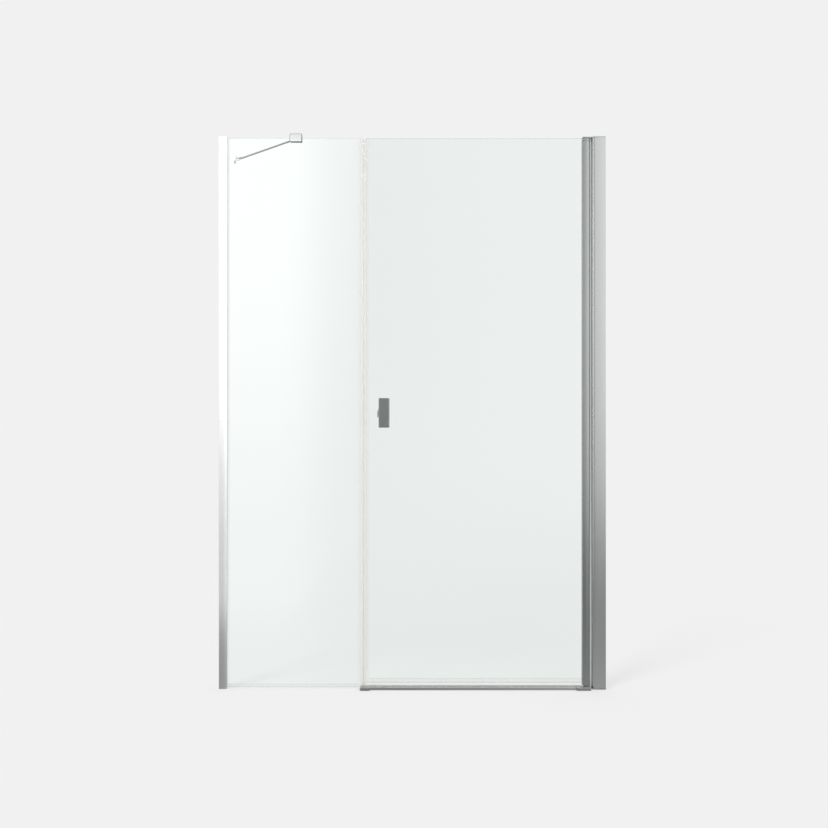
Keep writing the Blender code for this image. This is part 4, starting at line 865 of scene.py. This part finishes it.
def room_light():
    """A pale cove all round, even to the eye, with other strengths in reflections. Reflections in front
    see a dim middle behind the camera and a paler right side, both darker below with a dark band just
    under the middle. Reflections behind see a light ceiling over a ground that is dark at the left.
    The ramps' positions run from 0 for straight left, front or down to 1 for the way opposite."""
    world = bpy.data.worlds.new("studio")
    bpy.context.scene.world = world
    world.use_nodes = True
    world.cycles.sampling_method = "NONE"
    tree = world.node_tree
    tree.nodes.clear()
    coords = add_node(tree, "ShaderNodeTexCoord")
    way = add_node(tree, "ShaderNodeSeparateXYZ", {"Vector": coords.outputs["Generated"]})
    spread, depth, rise = [add_node(tree, "ShaderNodeMapRange", {
        "Value": way.outputs[axis], "From Min": -1.0, "From Max": 1.0}) for axis in "XYZ"]
    sideways = add_node(tree, "ShaderNodeValToRGB", {"Fac": spread}, stops=[
        (0.0, 0.42), (0.40, 0.42), (0.455, 0.34), (0.485, 0.34), (0.53, 0.52), (0.57, 0.64), (0.61, 0.82),
        (0.66, 0.88), (0.76, 0.76), (0.90, 0.95), (1.0, 1.0)])
    upright = add_node(tree, "ShaderNodeValToRGB", {"Fac": rise}, stops=[
        (0.0, 0.10), (0.15, 0.25), (0.26, 0.66), (0.345, 0.72), (0.362, 0.56), (0.380, 0.0), (0.412, 0.0),
        (0.45, 0.74), (0.47, 0.92), (0.50, 1.0), (0.54, 1.0), (1.0, 1.0)])
    low = add_node(tree, "ShaderNodeValToRGB", {"Fac": rise}, stops=[(0.40, 1.0), (0.45, 0.0)])
    across = add_node(tree, "ShaderNodeMix", {0: low, 2: sideways, 3: LOW_ACROSS})
    ahead = add_node(tree, "ShaderNodeMath", {0: across, 1: upright}, operation="MULTIPLY")
    left_ground = add_node(tree, "ShaderNodeValToRGB", {"Fac": rise}, stops=[
        (0.0, 0.06), (0.33, 0.08), (0.40, 0.85), (1.0, 1.0)])
    right_ground = add_node(tree, "ShaderNodeValToRGB", {"Fac": rise}, stops=[
        (0.0, 0.30), (0.30, 0.48), (0.38, 0.85), (1.0, 1.0)])
    rightward = add_node(tree, "ShaderNodeValToRGB", {"Fac": spread}, stops=[(0.43, 0.0), (0.50, 1.0)])
    behind = add_node(tree, "ShaderNodeMix", {0: rightward, 2: left_ground, 3: right_ground})
    past = add_node(tree, "ShaderNodeValToRGB", {"Fac": depth}, stops=[(0.35, 0.0), (0.55, 1.0)])
    over = add_node(tree, "ShaderNodeValToRGB", {"Fac": rise}, stops=[(0.70, 0.0), (0.85, 1.0)])
    turn = add_node(tree, "ShaderNodeMath", {0: past, 1: over}, operation="MAXIMUM")
    seen = add_node(tree, "ShaderNodeMix", {0: turn, 2: ahead, 3: behind})
    strong = add_node(tree, "ShaderNodeMath", {0: seen, 1: COVE_IN_REFLECTIONS}, operation="MULTIPLY")
    path = add_node(tree, "ShaderNodeLightPath")
    reflected = add_node(tree, "ShaderNodeMath", {
        0: path.outputs["Is Glossy Ray"], 1: path.outputs["Is Transmission Ray"]},
        operation="SUBTRACT", use_clamp=True)
    pick = add_node(tree, "ShaderNodeMix", {0: reflected, 2: COVE, 3: strong})
    light = add_node(tree, "ShaderNodeBackground", {"Color": grey(1.0), "Strength": pick})
    add_node(tree, "ShaderNodeOutputWorld", {"Surface": light})


def key_light():
    """A wide, weak key from the upper left in front, for the soft shadow on the floor."""
    sun = bpy.data.lights.new("key", "SUN")
    sun.energy = KEY_STRENGTH
    sun.angle = KEY_WIDTH
    lamp = new_object("key", sun)
    lamp.rotation_euler = Vector(KEY_WAY).to_track_quat("-Z", "Y").to_euler()


def stage_sheet(name, width, height, matrix, material):
    """A flat sheet of the stage about the matrix's origin."""
    work = bmesh.new()
    bmesh.ops.create_grid(work, x_segments=1, y_segments=1, size=0.5,
                          matrix=matrix @ Matrix.Diagonal((width, height, 1.0, 1.0)))
    made = to_object(name, work, material)
    return made


REFLECTOR_Y = -0.303
REFLECTOR_SIDES = (-0.80, -0.203)
REFLECTOR_ENDS = (-0.10, 2.45)
REFLECTOR_SHOULDER = 2.09
REFLECTOR_CREST = (2.078, 2.092)
CREST_GLOW = 0.42
RISE_LEAN = 0.20
REFLECTOR_STRENGTH = 4.6


def reflector():
    """A lit sheet close in front of the side panel that only reflections see. It is bright at the top
    left and fades to the right and, sooner towards the right, to the bottom. Its left rim, which the
    wall profile shows, is dimmer, and its crest, above the panel's top edge, has one even strength."""
    made, tree, shader = new_material("lit reflector sheet")
    tree.nodes.remove(shader)
    spot = add_node(tree, "ShaderNodeTexCoord")
    place = add_node(tree, "ShaderNodeSeparateXYZ", {"Vector": spot.outputs["Object"]})
    (left, right), (bottom, top) = REFLECTOR_SIDES, REFLECTOR_ENDS
    across = add_node(tree, "ShaderNodeMapRange", {
        "Value": place.outputs["X"], "From Min": left, "From Max": right})
    fade = add_node(tree, "ShaderNodeValToRGB", {"Fac": across}, stops=[
        (0.0, 1.0), (0.45, 0.98), (0.60, 0.88), (0.70, 0.70), (0.80, 0.53), (0.92, 0.42), (1.0, 0.30)])
    rim = add_node(tree, "ShaderNodeValToRGB", {"Fac": across}, stops=[
        (0.0, 0.60), (0.06, 0.56), (0.085, 0.26), (0.105, 0.04), (0.124, 0.0), (0.137, 1.0)])
    up = add_node(tree, "ShaderNodeMapRange", {
        "Value": place.outputs["Z"], "From Min": bottom, "From Max": REFLECTOR_SHOULDER})
    crest = add_node(tree, "ShaderNodeMapRange", {
        "Value": place.outputs["Z"], "From Min": REFLECTOR_CREST[0], "From Max": REFLECTOR_CREST[1]})
    leaning = add_node(tree, "ShaderNodeMath", {0: fade, 1: RISE_LEAN, 2: -RISE_LEAN},
                       operation="MULTIPLY_ADD")
    level = add_node(tree, "ShaderNodeMath", {0: up, 1: leaning}, operation="ADD")
    rise = add_node(tree, "ShaderNodeValToRGB", {"Fac": level}, stops=[
        (0.0, 0.19), (0.08, 0.22), (0.115, 0.27), (0.16, 0.40), (0.30, 0.47), (0.40, 0.57), (0.48, 0.68),
        (0.60, 0.82), (0.72, 0.92), (0.86, 1.0)])
    body = add_node(tree, "ShaderNodeMath", {0: fade, 1: rise}, operation="MULTIPLY")
    glow = add_node(tree, "ShaderNodeMath", {0: body, 1: rim}, operation="MULTIPLY")
    crested = add_node(tree, "ShaderNodeMix", {0: crest, 2: glow, 3: CREST_GLOW})
    light = add_node(tree, "ShaderNodeMath", {0: crested, 1: REFLECTOR_STRENGTH}, operation="MULTIPLY")
    shine = add_node(tree, "ShaderNodeEmission", {"Color": grey(1.0), "Strength": light})
    wire(tree, tree.nodes["Material Output"], {"Surface": shine})
    centre = Matrix.Translation(((left + right) / 2, REFLECTOR_Y, (bottom + top) / 2))
    sheet = stage_sheet("reflector", right - left, top - bottom,
                        centre @ Matrix.Rotation(math.pi / 2, 4, "X"), made)
    sheet.visible_camera = False
    sheet.visible_transmission = False
    sheet.visible_diffuse = False
    sheet.visible_shadow = False


FLOOR_SIZE = 300.0
FLOOR_GREY = 0.50
FLOOR_GLOW = 0.371


def floor():
    """A matt pale floor as bright as the cove, half of its light its own, as a lit stage has."""
    made, tree, shader = new_material("matt pale floor")
    wire(tree, shader, {"Base Color": grey(FLOOR_GREY), "Roughness": 1.0, "Specular IOR Level": 0.0,
                        "Emission Color": grey(1.0), "Emission Strength": FLOOR_GLOW})
    sheet = stage_sheet("floor", FLOOR_SIZE, FLOOR_SIZE, Matrix(), made)
    sheet.visible_glossy = False


def finish_cad_nodes():
    """Gives each CAD node its slot's finish. The seal in the hinge's groove and the left gaskets are
    paler than the black rubber of their slot."""
    finish_of = {entry["node"]: entry["material_slot"] for entry in frame["record"]["subparts"]}
    finish_of.update(hinge_gap_seal="soft_grey", left_gasket_front="pale_seal",
                     left_gasket_rear="pale_seal")
    for name, node in frame["nodes"].items():
        node.data.materials.clear()
        node.data.materials.append(FINISH[finish_of[name]])


# Everything in place

camera()
room_light()
key_light()
reflector()
floor()
finish_cad_nodes()
glass_and_seals()
left_wall()
hinge_side()
threshold()
handle()
clamp()
bar()
wall_bracket()
fasteners()
bpy.context.scene.view_settings.view_transform = "Standard"
